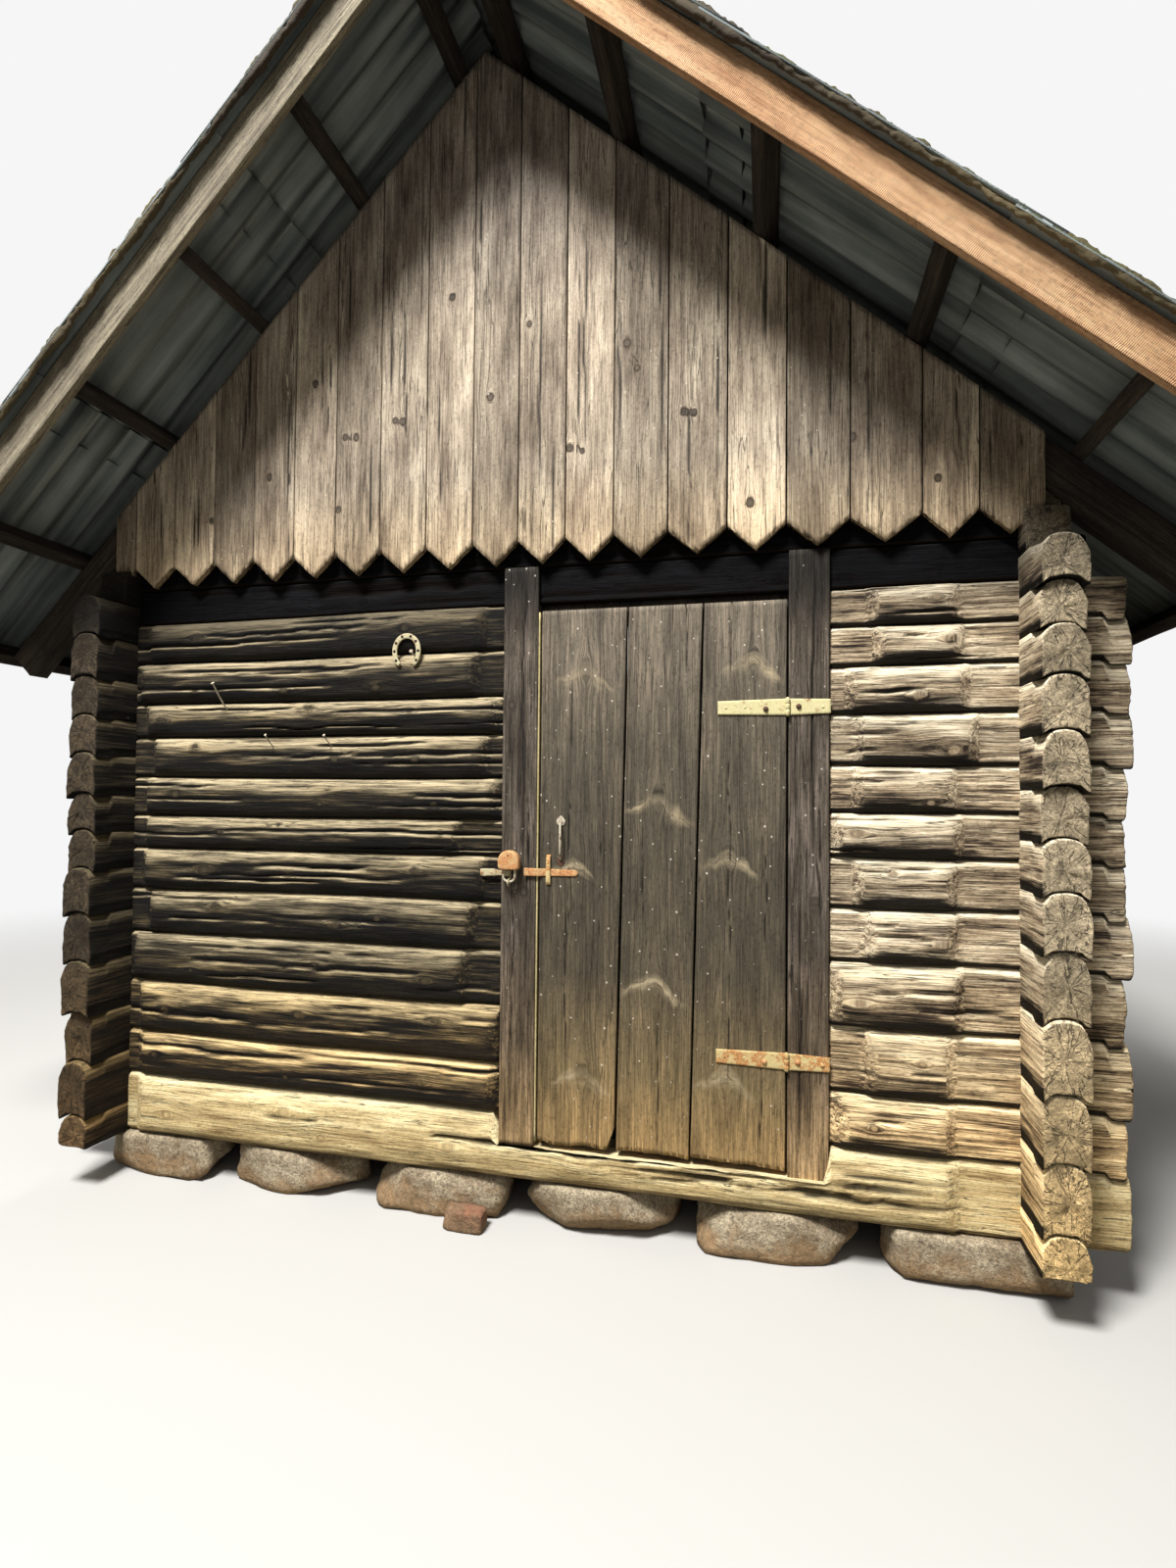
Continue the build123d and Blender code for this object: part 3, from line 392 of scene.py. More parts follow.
def dome(middle: Sequence[float], facing: Sequence[float], radius: float, high: float,
        sides: int = 10) -> Array:
    """Low round head: radius times cos of the angle, height times its sine, with a flat back.

    Args:
        middle: Centre of its seat.
        facing: Direction it looks in.
        radius: Its radius.
        high: Its height.
        sides: Points in a circle.

    Returns:
        Grid with a pole at both ends.
    """
    facing = np.asarray(facing, dtype=float) / np.linalg.norm(facing)
    rise = np.array([-0.2, -0.2, 0.35, 0.75, 1.0])
    reach = np.array([0.0, 1.0, 0.95, 0.62, 0.0])
    path = np.asarray(middle) + facing * (rise * high)[:, None]
    helper = (0, 0, 1) if abs(facing[2]) < 0.9 else (1, 0, 0)
    side = np.cross(facing, helper)
    side /= np.linalg.norm(side)
    other = np.cross(facing, side)
    angle = np.linspace(0, 2 * np.pi, sides, endpoint=False)
    spread = np.cos(angle)[:, None] * side + np.sin(angle)[:, None] * other
    return path[:, None] + (reach * radius)[:, None, None] * spread[None]


class Graph:
    """Node tree of one material."""

    def __init__(self, name: str) -> None:
        """Make an empty material of that name."""
        self.material = bpy.data.materials.new(name)
        self.material.use_nodes = True
        self.tree = self.material.node_tree
        self.tree.nodes.clear()

    def add(self, kind: str, inputs: dict[int | str, object] | Sequence[object] = (),
            out: int | str = 0, stops: Sequence[tuple[float, Sequence[float]]] = (),
            **settings: object) -> Socket | None:
        """Add one node with its settings and links.

        Args:
            kind: Node type without its first word, with its mode after a colon.
            inputs: What goes into its sockets, in their order, or by place or name.
            out: Which output is handed back.
            stops: Colour ramp stops.
            settings: Properties of the node.

        Returns:
            The output socket.
        """
        kind, _, mode = kind.partition(":")
        node = self.tree.nodes.new("ShaderNode" + kind)
        if mode:
            settings[MODES[kind]] = mode
        for key, value in settings.items():
            setattr(node, key, value)
        if stops:
            elements = node.color_ramp.elements
            while len(elements) < len(stops):
                elements.new(1.0)
            for element, (place, colour) in zip(elements, stops):
                element.position = place
                element.color = colour
        for key, value in inputs.items() if isinstance(inputs, dict) else enumerate(inputs):
            if isinstance(value, Socket):
                self.tree.links.new(value, node.inputs[key])
            else:
                node.inputs[key].default_value = value
        return node.outputs[out] if len(node.outputs) else None

    def close(self, colour: Socket, rough: Socket | float, height: Socket, relief: float,
            metal: float = 0.0, gloss: float = 0.5) -> Material:
        """Feed colour, roughness and relief into the shader and hand back the material."""
        bump = self.add("Bump", {"Height": height, "Strength": 1.0, "Distance": relief})
        shader = self.add("BsdfPrincipled", {"Base Color": colour, "Roughness": rough,
                "Normal": bump, "Metallic": metal, "Specular IOR Level": gloss})
        self.add("OutputMaterial", {"Surface": shader})
        return self.material


@dataclass(frozen=True)
class Pine:
    """Pine or spruce that has stood outdoors: rings, fibres, checks and knots in wood coordinates.

    The eye sees fine threads along the grain over broad worn patches, black drying checks, dark
    knots from which pale wisps sweep down, dirt in the pores and on a cut end the growth rings
    round the pith. Over them lies painted light: a painted highlight on what faces up, painted shade
    on what faces down, and factors by height: lighter low down, painted shadow at the tops under
    the gable and the eaves, and a painted highlight at the top of the door. Each of them is a layer:
    a cover and a colour laid over the tone, or no cover and a factor of it.
    """

    name: str
    pale: str
    mid: str
    dark: str
    end: str
    # sunlit and sun: colour and strength of the painted highlight on faces that look up; sunlit is
    # also the colour of the pale wisps. shaded, shade and turn: colour, strength and span of normal
    # height of the painted shade on faces that look down
    sunlit: str = "b5a582"
    shaded: str = "17110d"
    ring_mm: float = 3.6
    streak_mm: float = 9.0
    fibre_mm: float = 3.2
    contrast: float = 1.0
    sun: float = 0.0
    shade: float = 0.0
    checks: float = 1.0
    wisps: float = 0.0
    dots: float = 0.0
    knots: float = 1.0
    heart: float = 1.0
    turn: tuple[float, float] = (0.0, -0.42)
    saw: float = 0.0
    relief_mm: float = 2.2
    gloss: float = 0.25
    shares: tuple[float, float, float] = (0.85, 0.6, 0.95)
    lots: tuple[float, float] = (0.82, 1.16)
    # factors by height: lighter low down, painted shadow at the tops under the gable and the eaves,
    # a painted highlight on the door's top
    tone_and_light_by_height: tuple[tuple[float, float, float, float], ...] = ()

    def grain(self, g: Graph) -> SimpleNamespace:
        """Wood coordinates, distance from the pith and the noises that the layers read.

        Grain flows round a knot as a stream round a pier: across - across / distance squared.

        Args:
            g: The material's graph.

        Returns:
            The sockets by name.
        """
        wood, knot, state = (g.add("Attribute", attribute_name=name, out="Vector")
                for name in ("wood", "knot", "state"))
        depth, across, along = (g.add("SeparateXYZ", (wood,), axis) for axis in range(3))
        knot_a, knot_c, knot_r = (g.add("SeparateXYZ", (knot,), axis) for axis in range(3))
        piece, split, end = (g.add("SeparateXYZ", (state,), axis) for axis in range(3))
        squeezed = g.add("VectorMath:MULTIPLY", (knot, (0.42, 1.0, 0.0)))
        far = g.add("VectorMath:LENGTH", (squeezed,), "Value")
        far = g.add("Math:MAXIMUM", (g.add("Math:MULTIPLY", (far, far)), 1.0))
        push = g.add("Math:DIVIDE", (g.add("Math:MULTIPLY", (knot_c, knot_r)), far))
        flow = g.add("Math:SUBTRACT", (across, push))
        grain = g.add("CombineXYZ", (depth, flow, along))
        seed = {"W": g.add("Math:MULTIPLY", (piece, 71.0)), "Scale": 1.0}
        drift = g.add("VectorMath:MULTIPLY", (grain, (9, 9, 1.1)))
        drift = g.add("TexNoise", {**seed, "Vector": drift, "Detail": 2.0, "Roughness": 0.6},
                noise_dimensions="4D")
        drift = g.add("MapRange", (drift, 0.2, 0.8, -0.022, 0.022))
        radial = g.add("CombineXYZ", [g.add("Math:ADD", (x, drift)) for x in (depth, flow)])
        radius = g.add("VectorMath:LENGTH", (radial,), "Value")
        turns = g.add("Math:MULTIPLY", (radius, 1000.0 / self.ring_mm))
        band = g.add("CombineXYZ", (turns, g.add("Math:MULTIPLY", (along, 0.35))))
        wide, thread = 1000.0 / self.streak_mm, 1000.0 / self.fibre_mm
        # what each noise runs over, its waves a metre in three directions, detail and roughness;
        # the years of a cut end are three times as coarse as they grow, too fine to show
        noises = {"streak": (grain, (wide, wide, wide / 34), 5.0, 0.72), "fibre": (grain,
                (thread, thread, thread / 40), 3.0, 0.65), "patch": (grain, (13, 13, 3.2), 6.0,
                0.62), "dirt": (grain, (150, 150, 90), 4.0, 0.7), "check": (grain, (38, 38, 1.4),
                3.0, 0.55), "crack": (grain, (95, 95, 3.4), 2.0, 0.6), "sway": (grain, (22, 22, 9),
                1.0, 0.6), "fade": (grain, (11, 11, 5), 1.0, 0.6), "ring": (band, (0.5, 0.5, 0.5),
                2.0, 0.7), "year": (band, (0.17, 0.17, 0.17), 1.0, 0.5)}
        made = {name: g.add("TexNoise", {**seed, "Vector": g.add("VectorMath:MULTIPLY",
                (over, waves)), "Detail": detail, "Roughness": rough}, noise_dimensions="4D")
                for name, (over, waves, detail, rough) in noises.items()}
        lot = g.add("Math:FRACT", (g.add("Math:MULTIPLY", (piece, 7.31)),))
        lot = g.add("MapRange", (lot, 0.0, 1.0, *self.lots))
        strength = g.add("Math:MULTIPLY", (knot_r, 140.0), use_clamp=True)
        return SimpleNamespace(knot=knot, depth=depth, across=across, along=along, knot_a=knot_a,
                knot_c=knot_c, piece=piece, split=split, end=end, radius=radius, seed=seed, lot=lot,
                strength=strength, **made)

    def face(self, g: Graph, v: SimpleNamespace) -> list[Layer]:
        """Streaks, threads and patches added up round one half, latewood, painted highlight and
        painted shade.
        """
        mixed = g.add("VectorMath:DOT_PRODUCT", (g.add("CombineXYZ", (v.streak, v.fibre, v.patch)),
                tuple(share * self.contrast for share in self.shares)), "Value")
        mixed = g.add("Math:ADD", (mixed, 0.5 - 0.5 * sum(self.shares) * self.contrast))
        tone = g.add("ValToRGB", (mixed,), stops=[
            (0.26, linear(self.dark)), (0.5, linear(self.mid)), (0.74, linear(self.pale))])
        late = g.add("MapRange", (v.ring, 0.5, 0.62, 0.0, 0.35))
        specks = g.add("MapRange", (v.dirt, 0.34, 0.5, 0.6, 1.0))
        up = g.add("SeparateXYZ", (g.add("NewGeometry", out="Normal"),), 2)
        # painted highlight: the more a face looks up, the more it takes the sunlit colour
        lit = g.add("Math:MULTIPLY", (g.add("MapRange", (up, 0.02, 0.6, 0.0, self.sun)),
                g.add("MapRange", (mixed, 0.25, 0.55, 0.2, 1.0))), use_clamp=True)
        highlight_threads = g.add("MapRange", (v.fibre, 0.3, 0.7, 0.72, 1.24))
        painted_sunlight = g.add("VectorMath:MULTIPLY", (linear(self.sunlit)[:3], highlight_threads))
        # painted shade: the more a face looks down, the more it takes the shaded colour
        below = g.add("Math:ADD", (up, g.add("MapRange", (v.streak, 0.3, 0.7, -0.2, 0.2))))
        below = g.add("MapRange", (below, *self.turn, 0.0, self.shade))
        return [(None, tone), (late, linear(self.dark)), (None, specks), (None, v.lot),
                (lit, painted_sunlight), (below, linear(self.shaded))]

    def knotted(self, g: Graph, v: SimpleNamespace) -> list[Layer]:
        """Knots: a dark heart inside a darker rim, neither quite round."""
        plain = g.add("VectorMath:MULTIPLY", (v.knot, (0.8, 1.0, 0.0)))
        near = g.add("Math:ADD", (g.add("VectorMath:LENGTH", (plain,), "Value"), g.add("MapRange",
                (v.dirt, 0.3, 0.7, -0.3, 0.3))))
        deep = g.add("Math:MULTIPLY", (v.strength, self.knots))
        rim, heart = (g.add("Math:MULTIPLY", (g.add("MapRange", (near, *span)), deep),
                use_clamp=True) for span in ((0.8, 1.7, 0.55, 0.0), (0.55, 0.95, 1.0, 0.0)))
        edge = g.add("VectorMath:MULTIPLY", (linear(self.dark)[:3], (0.5, 0.42, 0.36)))
        core = g.add("MapRange", (v.dirt, 0.3, 0.7, 0.35 * self.heart, self.heart))
        core = g.add("VectorMath:MULTIPLY", (linear(self.mid)[:3], core))
        return [(rim, edge), (heart, core)]

    def cut_end(self, g: Graph, v: SimpleNamespace) -> list[Layer]:
        """End grain: rings round the pith, and checks that run out from it, kept as v.star."""
        angle = g.add("Math:ARCTAN2", (v.depth, v.across))
        rays = g.add("CombineXYZ", (g.add("Math:MULTIPLY", (angle, 2.2)), g.add("Math:MULTIPLY",
                (v.radius, 9.0))))
        star = g.add("TexNoise", {**v.seed, "Vector": rays, "Detail": 3.0}, noise_dimensions="4D")
        star = g.add("Math:ABSOLUTE", (g.add("Math:SUBTRACT", (star, 0.5)),))
        star = g.add("MapRange", (star, 0.0, 0.016, 0.95, 0.0))
        v.star = g.add("Math:MULTIPLY", (star, v.end), use_clamp=True)
        year = g.add("MapRange", (v.year, 0.4, 0.6, 1.14, 0.8))
        rot = g.add("Math:MULTIPLY", (g.add("MapRange", (v.patch, 0.36, 0.6, 0.5, 1.15)),
                g.add("MapRange", (v.dirt, 0.35, 0.65, 0.6, 1.3))))
        cut = g.add("VectorMath:MULTIPLY", (linear(self.end)[:3], year))
        cut = g.add("VectorMath:MULTIPLY", (cut, g.add("Math:MULTIPLY", (rot, v.lot))))
        return [(v.end, cut)]

    def toned_and_lit_by_height(self, g: Graph, v: SimpleNamespace) -> list[Layer]:
        """Painted light and tone by height over the ground; a ramp holds heights and factors up to
        1, so 1 is 4.
        """
        if not self.tone_and_light_by_height:
            return []
        # the tops darken in painted shadow under the gable and the eaves, a painted highlight lies
        # on the top of the door, and the lower parts are lighter
        level = g.add("SeparateXYZ", (g.add("TexCoord", out="Object"),), 2)
        level = g.add("Math:ADD", (level, g.add("MapRange", (v.streak, 0.0, 1.0, -0.12, 0.12))))
        stops = [(z / 4, (red / 4, green / 4, blue / 4, 1.0)) for z, red, green,
                blue in self.tone_and_light_by_height]
        factor = g.add("ValToRGB", (g.add("Math:MULTIPLY", (level, 0.25)),), stops=stops)
        return [(None, factor), (None, (4.0, 4.0, 4.0))]

    def wisped(self, g: Graph, v: SimpleNamespace) -> list[Layer]:
        """Bundles of pale threads that sweep down from a knot on both its sides.

        They lie where along + 0.6 |across| + 0.2 across = a slow wander, widest beside the knot.

        Args:
            g: The material's graph.
            v: Its sockets by name.

        Returns:
            The layer of wisps.
        """
        beside = g.add("Math:ABSOLUTE", (v.knot_c,))
        arm = g.add("CombineXYZ", (v.knot_a, beside, v.knot_c))
        arm = g.add("VectorMath:DOT_PRODUCT", (arm, (1.0, 0.6, 0.2)), "Value")
        arm = g.add("Math:ADD", (arm, g.add("MapRange", (v.sway, 0.3, 0.7, -0.9, 0.9))))
        strand = g.add("CombineXYZ", (g.add("Math:MULTIPLY", (arm, 1.5)), g.add("Math:MULTIPLY",
                (v.knot_c, 0.35))))
        strand = g.add("TexNoise", {**v.seed, "Vector": strand, "Detail": 3.0, "Roughness": 0.7},
                noise_dimensions="4D")
        half = g.add("MapRange", (beside, 0.0, 7.0, 2.3, 0.7))
        arm = g.add("Math:DIVIDE", (g.add("Math:ABSOLUTE", (arm,)), half))
        arm = g.add("MapRange", (arm, 0.0, 1.0, 1.0, 0.0))
        for share in ((strand, 0.34, 0.58), (v.fade, 0.36, 0.54, 0.35, 1.0), (beside, 3.0, 7.5,
                self.wisps, 0.0)):
            arm = g.add("Math:MULTIPLY", (arm, g.add("MapRange", share)))
        arm = g.add("Math:MULTIPLY", (arm, v.strength), use_clamp=True)
        return [(arm, linear(self.sunlit))]

    def dusted(self, g: Graph, v: SimpleNamespace) -> list[Layer]:
        """Specks of pale dust, up to 5 mm wide and about 80 mm apart."""
        if not self.dots:
            return []
        places = g.add("CombineXYZ", (g.add("Math:ADD", (v.across, v.piece)), v.along))
        fleck = g.add("TexVoronoi", {"Vector": places, "Scale": 13.0}, voronoi_dimensions="2D")
        fleck = g.add("Math:ADD", (fleck, g.add("MapRange", (v.patch, 0.42, 0.6, 0.02, -0.02))))
        fleck = g.add("MapRange", (fleck, 0.015, 0.035, self.dots, 0.0))
        fleck = g.add("Math:MULTIPLY", (fleck, g.add("Math:SUBTRACT", (1.0, v.end))))
        return [(fleck, linear("d8cfbd"))]

    def cracked(self, g: Graph, v: SimpleNamespace) -> list[Layer]:
        """Black cracks, kept as v.gap: thin lines where a long noise crosses its middle value."""
        line, small = (g.add("Math:ABSOLUTE", (g.add("Math:SUBTRACT", (noise, middle)),)) for noise,
                middle in ((v.check, 0.5), (v.crack, 0.47)))
        line = g.add("MapRange", (line, 0.0, 0.012, 1.0, 0.0))
        broken = g.add("MapRange", (v.patch, 0.44, 0.56, 0.0, self.checks))
        line = g.add("Math:MULTIPLY", (line, broken), use_clamp=True)
        small = g.add("MapRange", (small, 0.0, 0.016, 0.75 * self.checks, 0.0))
        broken = g.add("MapRange", (v.streak, 0.4, 0.6, 1.0, 0.0))
        small = g.add("Math:MULTIPLY", (small, broken), use_clamp=True)
        line = g.add("Math:MAXIMUM", (g.add("Math:MAXIMUM", (line, small)), v.star))
        split = g.add("MapRange", (v.split, 0.15, 0.75))
        v.gap = g.add("Math:MAXIMUM", (line, split), use_clamp=True)
        return [(g.add("Math:MULTIPLY", (v.gap, 0.88)), linear("0d0907"))]

    def sawn(self, g: Graph, v: SimpleNamespace) -> list[Layer]:
        """Bands that the mill's blade left square to the board, 5 mm apart, kept as v.teeth."""
        if not self.saw:
            return []
        teeth = g.add("Math:ADD", (v.along, g.add("MapRange", (v.patch, 0.0, 1.0, -0.01, 0.01))))
        teeth = g.add("Math:SINE", (g.add("Math:MULTIPLY", (teeth, 1250.0)),))
        v.teeth = g.add("Math:MULTIPLY", (teeth, self.saw))
        tint = g.add("Math:ADD", (g.add("Math:MULTIPLY", (v.teeth, 0.25)), 1.0))
        return [(None, tint)]

    def material(self) -> Material:
        """The material: every layer over the one before, and the relief of threads and cracks."""
        g = Graph(self.name)
        v = self.grain(g)
        parts = (self.face, self.knotted, self.cut_end, self.toned_and_lit_by_height, self.wisped, self.dusted,
                self.cracked, self.sawn)
        (_, tone), *layers = [layer for part in parts for layer in part(g, v)]
        for cover, colour in layers:
            if cover is None:
                tone = g.add("VectorMath:MULTIPLY", (tone, colour))
            else:
                tone = g.add("Mix:RGBA", {0: cover, 6: tone, 7: colour}, 2)
        height = g.add("Math:ADD", (v.fibre, g.add("Math:MULTIPLY", (v.ring, 0.5))))
        height = g.add("Math:ADD", (height, v.streak))
        height = g.add("Math:SUBTRACT", (height, g.add("Math:MULTIPLY", (v.gap, 1.1))))
        if self.saw:
            height = g.add("Math:ADD", (height, v.teeth))
        return g.close(tone, 0.86, height, self.relief_mm / 1000, gloss=self.gloss)


class Side(Enum):
    """The four walls, each with the direction it looks in."""

    FRONT = (0, -1)
    BACK = (0, 1)
    RIGHT = (1, 0)
    LEFT = (-1, 0)


@dataclass
class LogWalls:
    """Walls of hewn round logs notched over each other at the corners."""

    half_x: float = 1.6425
    half_y: float = 1.900
    thick: float = 0.120
    belly: float = 0.035
    seat: float = 0.050
    crown: float = 0.012
    stub_front: float = 0.180
    stub_side: float = 0.200
    stub_short: float = 0.060
    hewn_corner: tuple[float, float] = (0.170, 0.260)
    hewn_jamb: float = 0.080
    foot: float = 0.150
    sill: float = 0.215
    left_h: tuple[float, ...] = (.160, .187, .182, .166, .150, .125, .140, .150, .125, .155, .152)
    right_h: tuple[float, ...] = (.162, .201, .194, .162, .151, .135, .145, .155, .145, .125)
    lintel: float = 0.125
    top_log: float = 0.140
    plate_rise: float = 0.033
    frame_x: tuple[float, float] = (-0.0495, 0.9995)
    threshold: float = 0.265
    gap: float = 0.0025

    def __post_init__(self) -> None:
        """Work out the joints of each wall from the log heights."""
        rest = sum(self.left_h) - sum(self.right_h)
        top = (self.lintel, self.top_log)
        self.left = self.foot + np.cumsum((0.0, self.sill) + self.left_h + top)
        self.right = self.foot + np.cumsum((0.0, self.sill) + self.right_h + (rest,) + top)
        self.back = (self.left + self.right) / 2
        self.plate_top = self.left[-1] + self.plate_rise
        self.sides = {Side.LEFT: self.side_joints(self.left), Side.RIGHT: self.side_joints(
                self.right)}

    def side_joints(self, joints: Array) -> Array:
        """Joints of a side wall, half a log above those of the wall that it crosses."""
        return np.concatenate([[self.foot], (joints[1:] + joints[:-1]) / 2, [self.plate_top]])

    def place(self, side: Side, a: Array, d: Array, h: Array) -> Array:
        """Points from along the wall, outwards from its middle plane, and up."""
        ox, oy = side.value
        if ox:
            return stacked(ox * (self.half_x - self.thick / 2 + d), a, h)
        return stacked(a, oy * (self.half_y - self.thick / 2 + d), h)

    def log(self, skin: Skin, side: Side, ends: tuple[float, float], levels: tuple[float, float],
            stubs: tuple[float, float], seed: int, fine: float = 0.014, around: int = 40,
            coarse: float = 0.0, jamb: float | None = None, flat: bool = False,
            level_cut: float | None = None, crowned: bool = True, grooved: bool = True) -> None:
        """Add one log.

        Its outer face is the round belly, seat + (belly reach) * cos(angle) ** 0.8, cut back to
        the hewn plane where it was flattened, with beds that waver a few millimetres.

        Args:
            skin: What it is added to.
            side: Which wall.
            ends: Where it starts and stops along the wall.
            levels: Its lower and upper bed.
            stubs: Where the crossing walls begin, so that the log is hewn beyond them.
            seed: Picks its knots, cracks and wander.
            fine: Spacing along it where it is seen close.
            around: Points on the outer face.
            coarse: Spacing in its middle, where that differs.
            jamb: Where a door post cuts it, hewn flat beside it.
            flat: True for a log hewn over its whole length.
            level_cut: Level it is cut down to in the doorway.
            crowned: True if it has a rounded top.
            grooved: True if it is hollowed underneath.
        """
        draw = np.random.default_rng(seed)
        z0, z1 = levels
        low_end, high_end = ends
        bends = (low_end, low_end + 0.42, high_end - 0.42, high_end) if coarse else ends
        sizes = (fine, coarse, fine) if coarse else (fine,)
        stations = [steps(x0, x1, size) for x0, x1, size in zip(bends, bends[1:], sizes)]
        a = np.unique(np.round(np.concatenate(stations), 5))
        inset = np.array([0.0, 0.2, 0.4, 0.6, 0.75, 0.86, 0.93])
        a = np.concatenate([[low_end] * 7, low_end + np.array([0.003, 0.009]), a[2:-2],
                high_end - np.array([0.009, 0.003]), [high_end] * 7])
        shrink = np.concatenate([inset, [0.975, 1.0], np.ones(len(a) - 18), [1.0, 0.975],
                inset[::-1]])
        end = np.concatenate([np.ones(7), np.zeros(len(a) - 14), np.ones(7)])
        a, shrink, end = a[:, None], shrink[:, None], end[:, None]
        turn = np.linspace(-np.pi / 2, np.pi / 2, around)[None]
        # how far from the nearest hewn stretch, and the plane there
        round_low, round_high = stubs[0] + self.hewn_corner[0], stubs[1] - self.hewn_corner[1]
        if jamb is not None:
            cut = self.hewn_jamb * draw.uniform(0.0, 1.5)
            if jamb > (low_end + high_end) / 2:
                round_high = jamb - cut
            else:
                round_low = jamb + cut
        round_low += draw.uniform(-0.04, 0.04)
        round_high += draw.uniform(-0.04, 0.04)
        inside = np.minimum(a - round_low, round_high - a)
        half = self.thick / 2
        plane = half + 0.004 + self.belly * 1.6 * ease(inside, -0.006, 0.055)
        plane = plane - 0.013 * ease(np.abs(np.sin(turn)), 0.80, 1.0) ** 2
        if flat:
            plane = half - 0.001 + 0 * a
        beyond = np.maximum(stubs[0] - 0.12 - a, a - stubs[1] - 0.12)
        stub = ease(beyond, -0.02, 0.0)
        line = stacked(a, 0 * a, 0 * a)
        low = z0 + self.gap + 0.004 * lumps(line + (0, z0 * 3, 0), 0.45, 11) * (1 - stub)
        high = z1 - self.gap * 0.4 + 0.004 * lumps(line + (0, z1 * 3, 0), 0.45, 11) * (1 - stub)
        swell = 1 + 0.10 * lumps(line, 0.5, seed + 1) + 0.05 * lumps(line, 0.13, seed + 2)
        mid, half_h = (low + high) / 2, (high - low) / 2
        arc = turn * half_h
        marks = scattered(seed, (round_low, round_high), (-0.05, 0.06),
                max(1, int((high_end - low_end) * 2.2)), max(2, int((high_end - low_end) * 2.6)),
                0.013, 0.011)
        height, knot, split = marks.relief(a + 0 * turn, arc + 0 * a)
        fade = np.cos(turn) ** 0.5 * (1 - end)
        spot = stacked(a + 0 * turn, arc, 0 * arc + z0)
        grit = lumps(spot, (0.09, 0.009, 0.01), seed + 3) * 0.0016
        grit = grit + lumps(spot, (0.2, 0.03, 0.03), seed + 4) * 0.003
        bulge = self.belly + (half - self.seat)
        belly = self.seat + bulge * swell * np.cos(turn) ** 0.8 * (0.96 - 0.08 * np.sin(turn))
        belly = np.minimum(belly, half + self.belly - 0.001)
        chop = lumps(stacked(a + 0 * turn, arc, 0 * arc), (0.035, 0.05, 0.05), seed + 6) * 0.0015
        outer = np.minimum(belly + grit, plane + chop - 0.002)
        outer = np.minimum(outer + height * fade, half + self.belly - 0.0005)
        outer_h = mid + half_h * np.sin(turn) + (height * 0.3) * np.sin(turn) * fade
        # rounded top, hewn back and hollow underside close the ring
        crown = self.crown if crowned else 0.0
        groove = self.crown if grooved else 0.0
        across = np.linspace(1, -1, 9)[None, 1:-1]
        top_d = across * outer[:, -1:]
        top_h = high + crown * (1 - across ** 2)
        back = np.linspace(1, -1, 5)[None]
        back_d = -half + 0.003 + 0.0015 * lumps(stacked(a + 0 * back, back + 0 * a, 0 * a * back),
                (0.08, 0.5, 1), seed + 8)
        back_h = mid + half_h * back
        low_d = -across * outer[:, :1]
        low_h = low + groove * (1 - across ** 2)
        ring_d = np.concatenate([outer, top_d, back_d, low_d], axis=1)
        ring_h = np.concatenate([outer_h, top_h, back_h, low_h], axis=1)
        # past the corner the end is an arch: flat sides, round top, hollow foot over the next end
        ring_d = np.clip(ring_d, -half, None)
        if not flat:
            side_part = np.clip((ring_h - mid) / half_h, -1, 1)
            power = np.where(ring_d < 0, draw.uniform(3.5, 8.0), draw.uniform(3.5, 8.0))
            arch = np.clip(np.abs(ring_d) / half, 0, 1) ** power
            worn = np.where(ring_d < 0, draw.uniform(0.6, 1.5), draw.uniform(0.8, 1.5))
            arch = arch * np.where(side_part > 0, worn, 1.0)
            # the inner shoulder was chopped away more, which leaves a dark wedge under it
            chopped = np.where(ring_d < 0, draw.uniform(0.2, 0.7), draw.uniform(0.75, 0.95))
            fall = draw.uniform(0.030, 0.040) * ease(side_part, -0.6, 0.7) * crowned + (
                0.028 * chopped * ease(-side_part, -0.1, 0.95) * grooved)
            ring_h = ring_h - fall * arch * stub
            ring_h = ring_h + 0.004 * stub * (1 - arch) * (side_part < -0.9)
        if level_cut is not None:
            way = (a > self.frame_x[0]) & (a < self.frame_x[1])
            ring_h = np.where(way, np.minimum(ring_h, level_cut), ring_h)
        # an axe or saw left the end a little askew and short of the others
        lean_h, lean_d = draw.uniform(-0.10, 0.10), draw.uniform(-0.06, 0.06)
        short = draw.uniform(0, 0.024)
        for tip, out in ((low_end, 1), (high_end, -1)):
            if abs(tip) > max(abs(stubs[0]), abs(stubs[1])) + 0.08:
                near = ease(-np.abs(a - tip), -0.10, 0.0)
                cut_back = np.abs(lean_h * (ring_h - mid) + lean_d * ring_d) + short
                rough = 0.002 * (1 + lumps(stacked(0 * a + tip, ring_d, ring_h), 0.012, seed + 9))
                a = a + out * near * (cut_back + rough)
        pith_d, pith_h = draw.uniform(-0.012, 0.014), draw.uniform(-0.016, 0.016)
        ring_d = pith_d + (ring_d - pith_d) * shrink
        middle = mid + pith_h
        ring_h = middle + (ring_h - middle) * shrink
        rest = ring_d.shape[1] - around
        knot = np.concatenate([knot * fade[..., None], np.zeros((len(a), rest, 3))], axis=1)
        split = np.concatenate([split * fade, np.zeros((len(a), rest))], axis=1)
        check = end + 0 * ring_d
        points = self.place(side, a + 0 * ring_d, ring_d, ring_h)
        wood = stacked(ring_d - pith_d, ring_h - middle, a + 0 * ring_d)
        state = stacked(0 * ring_d + (seed * 0.6180339) % 1.0, split, check)
        skin.add(points, wood, knot, state)

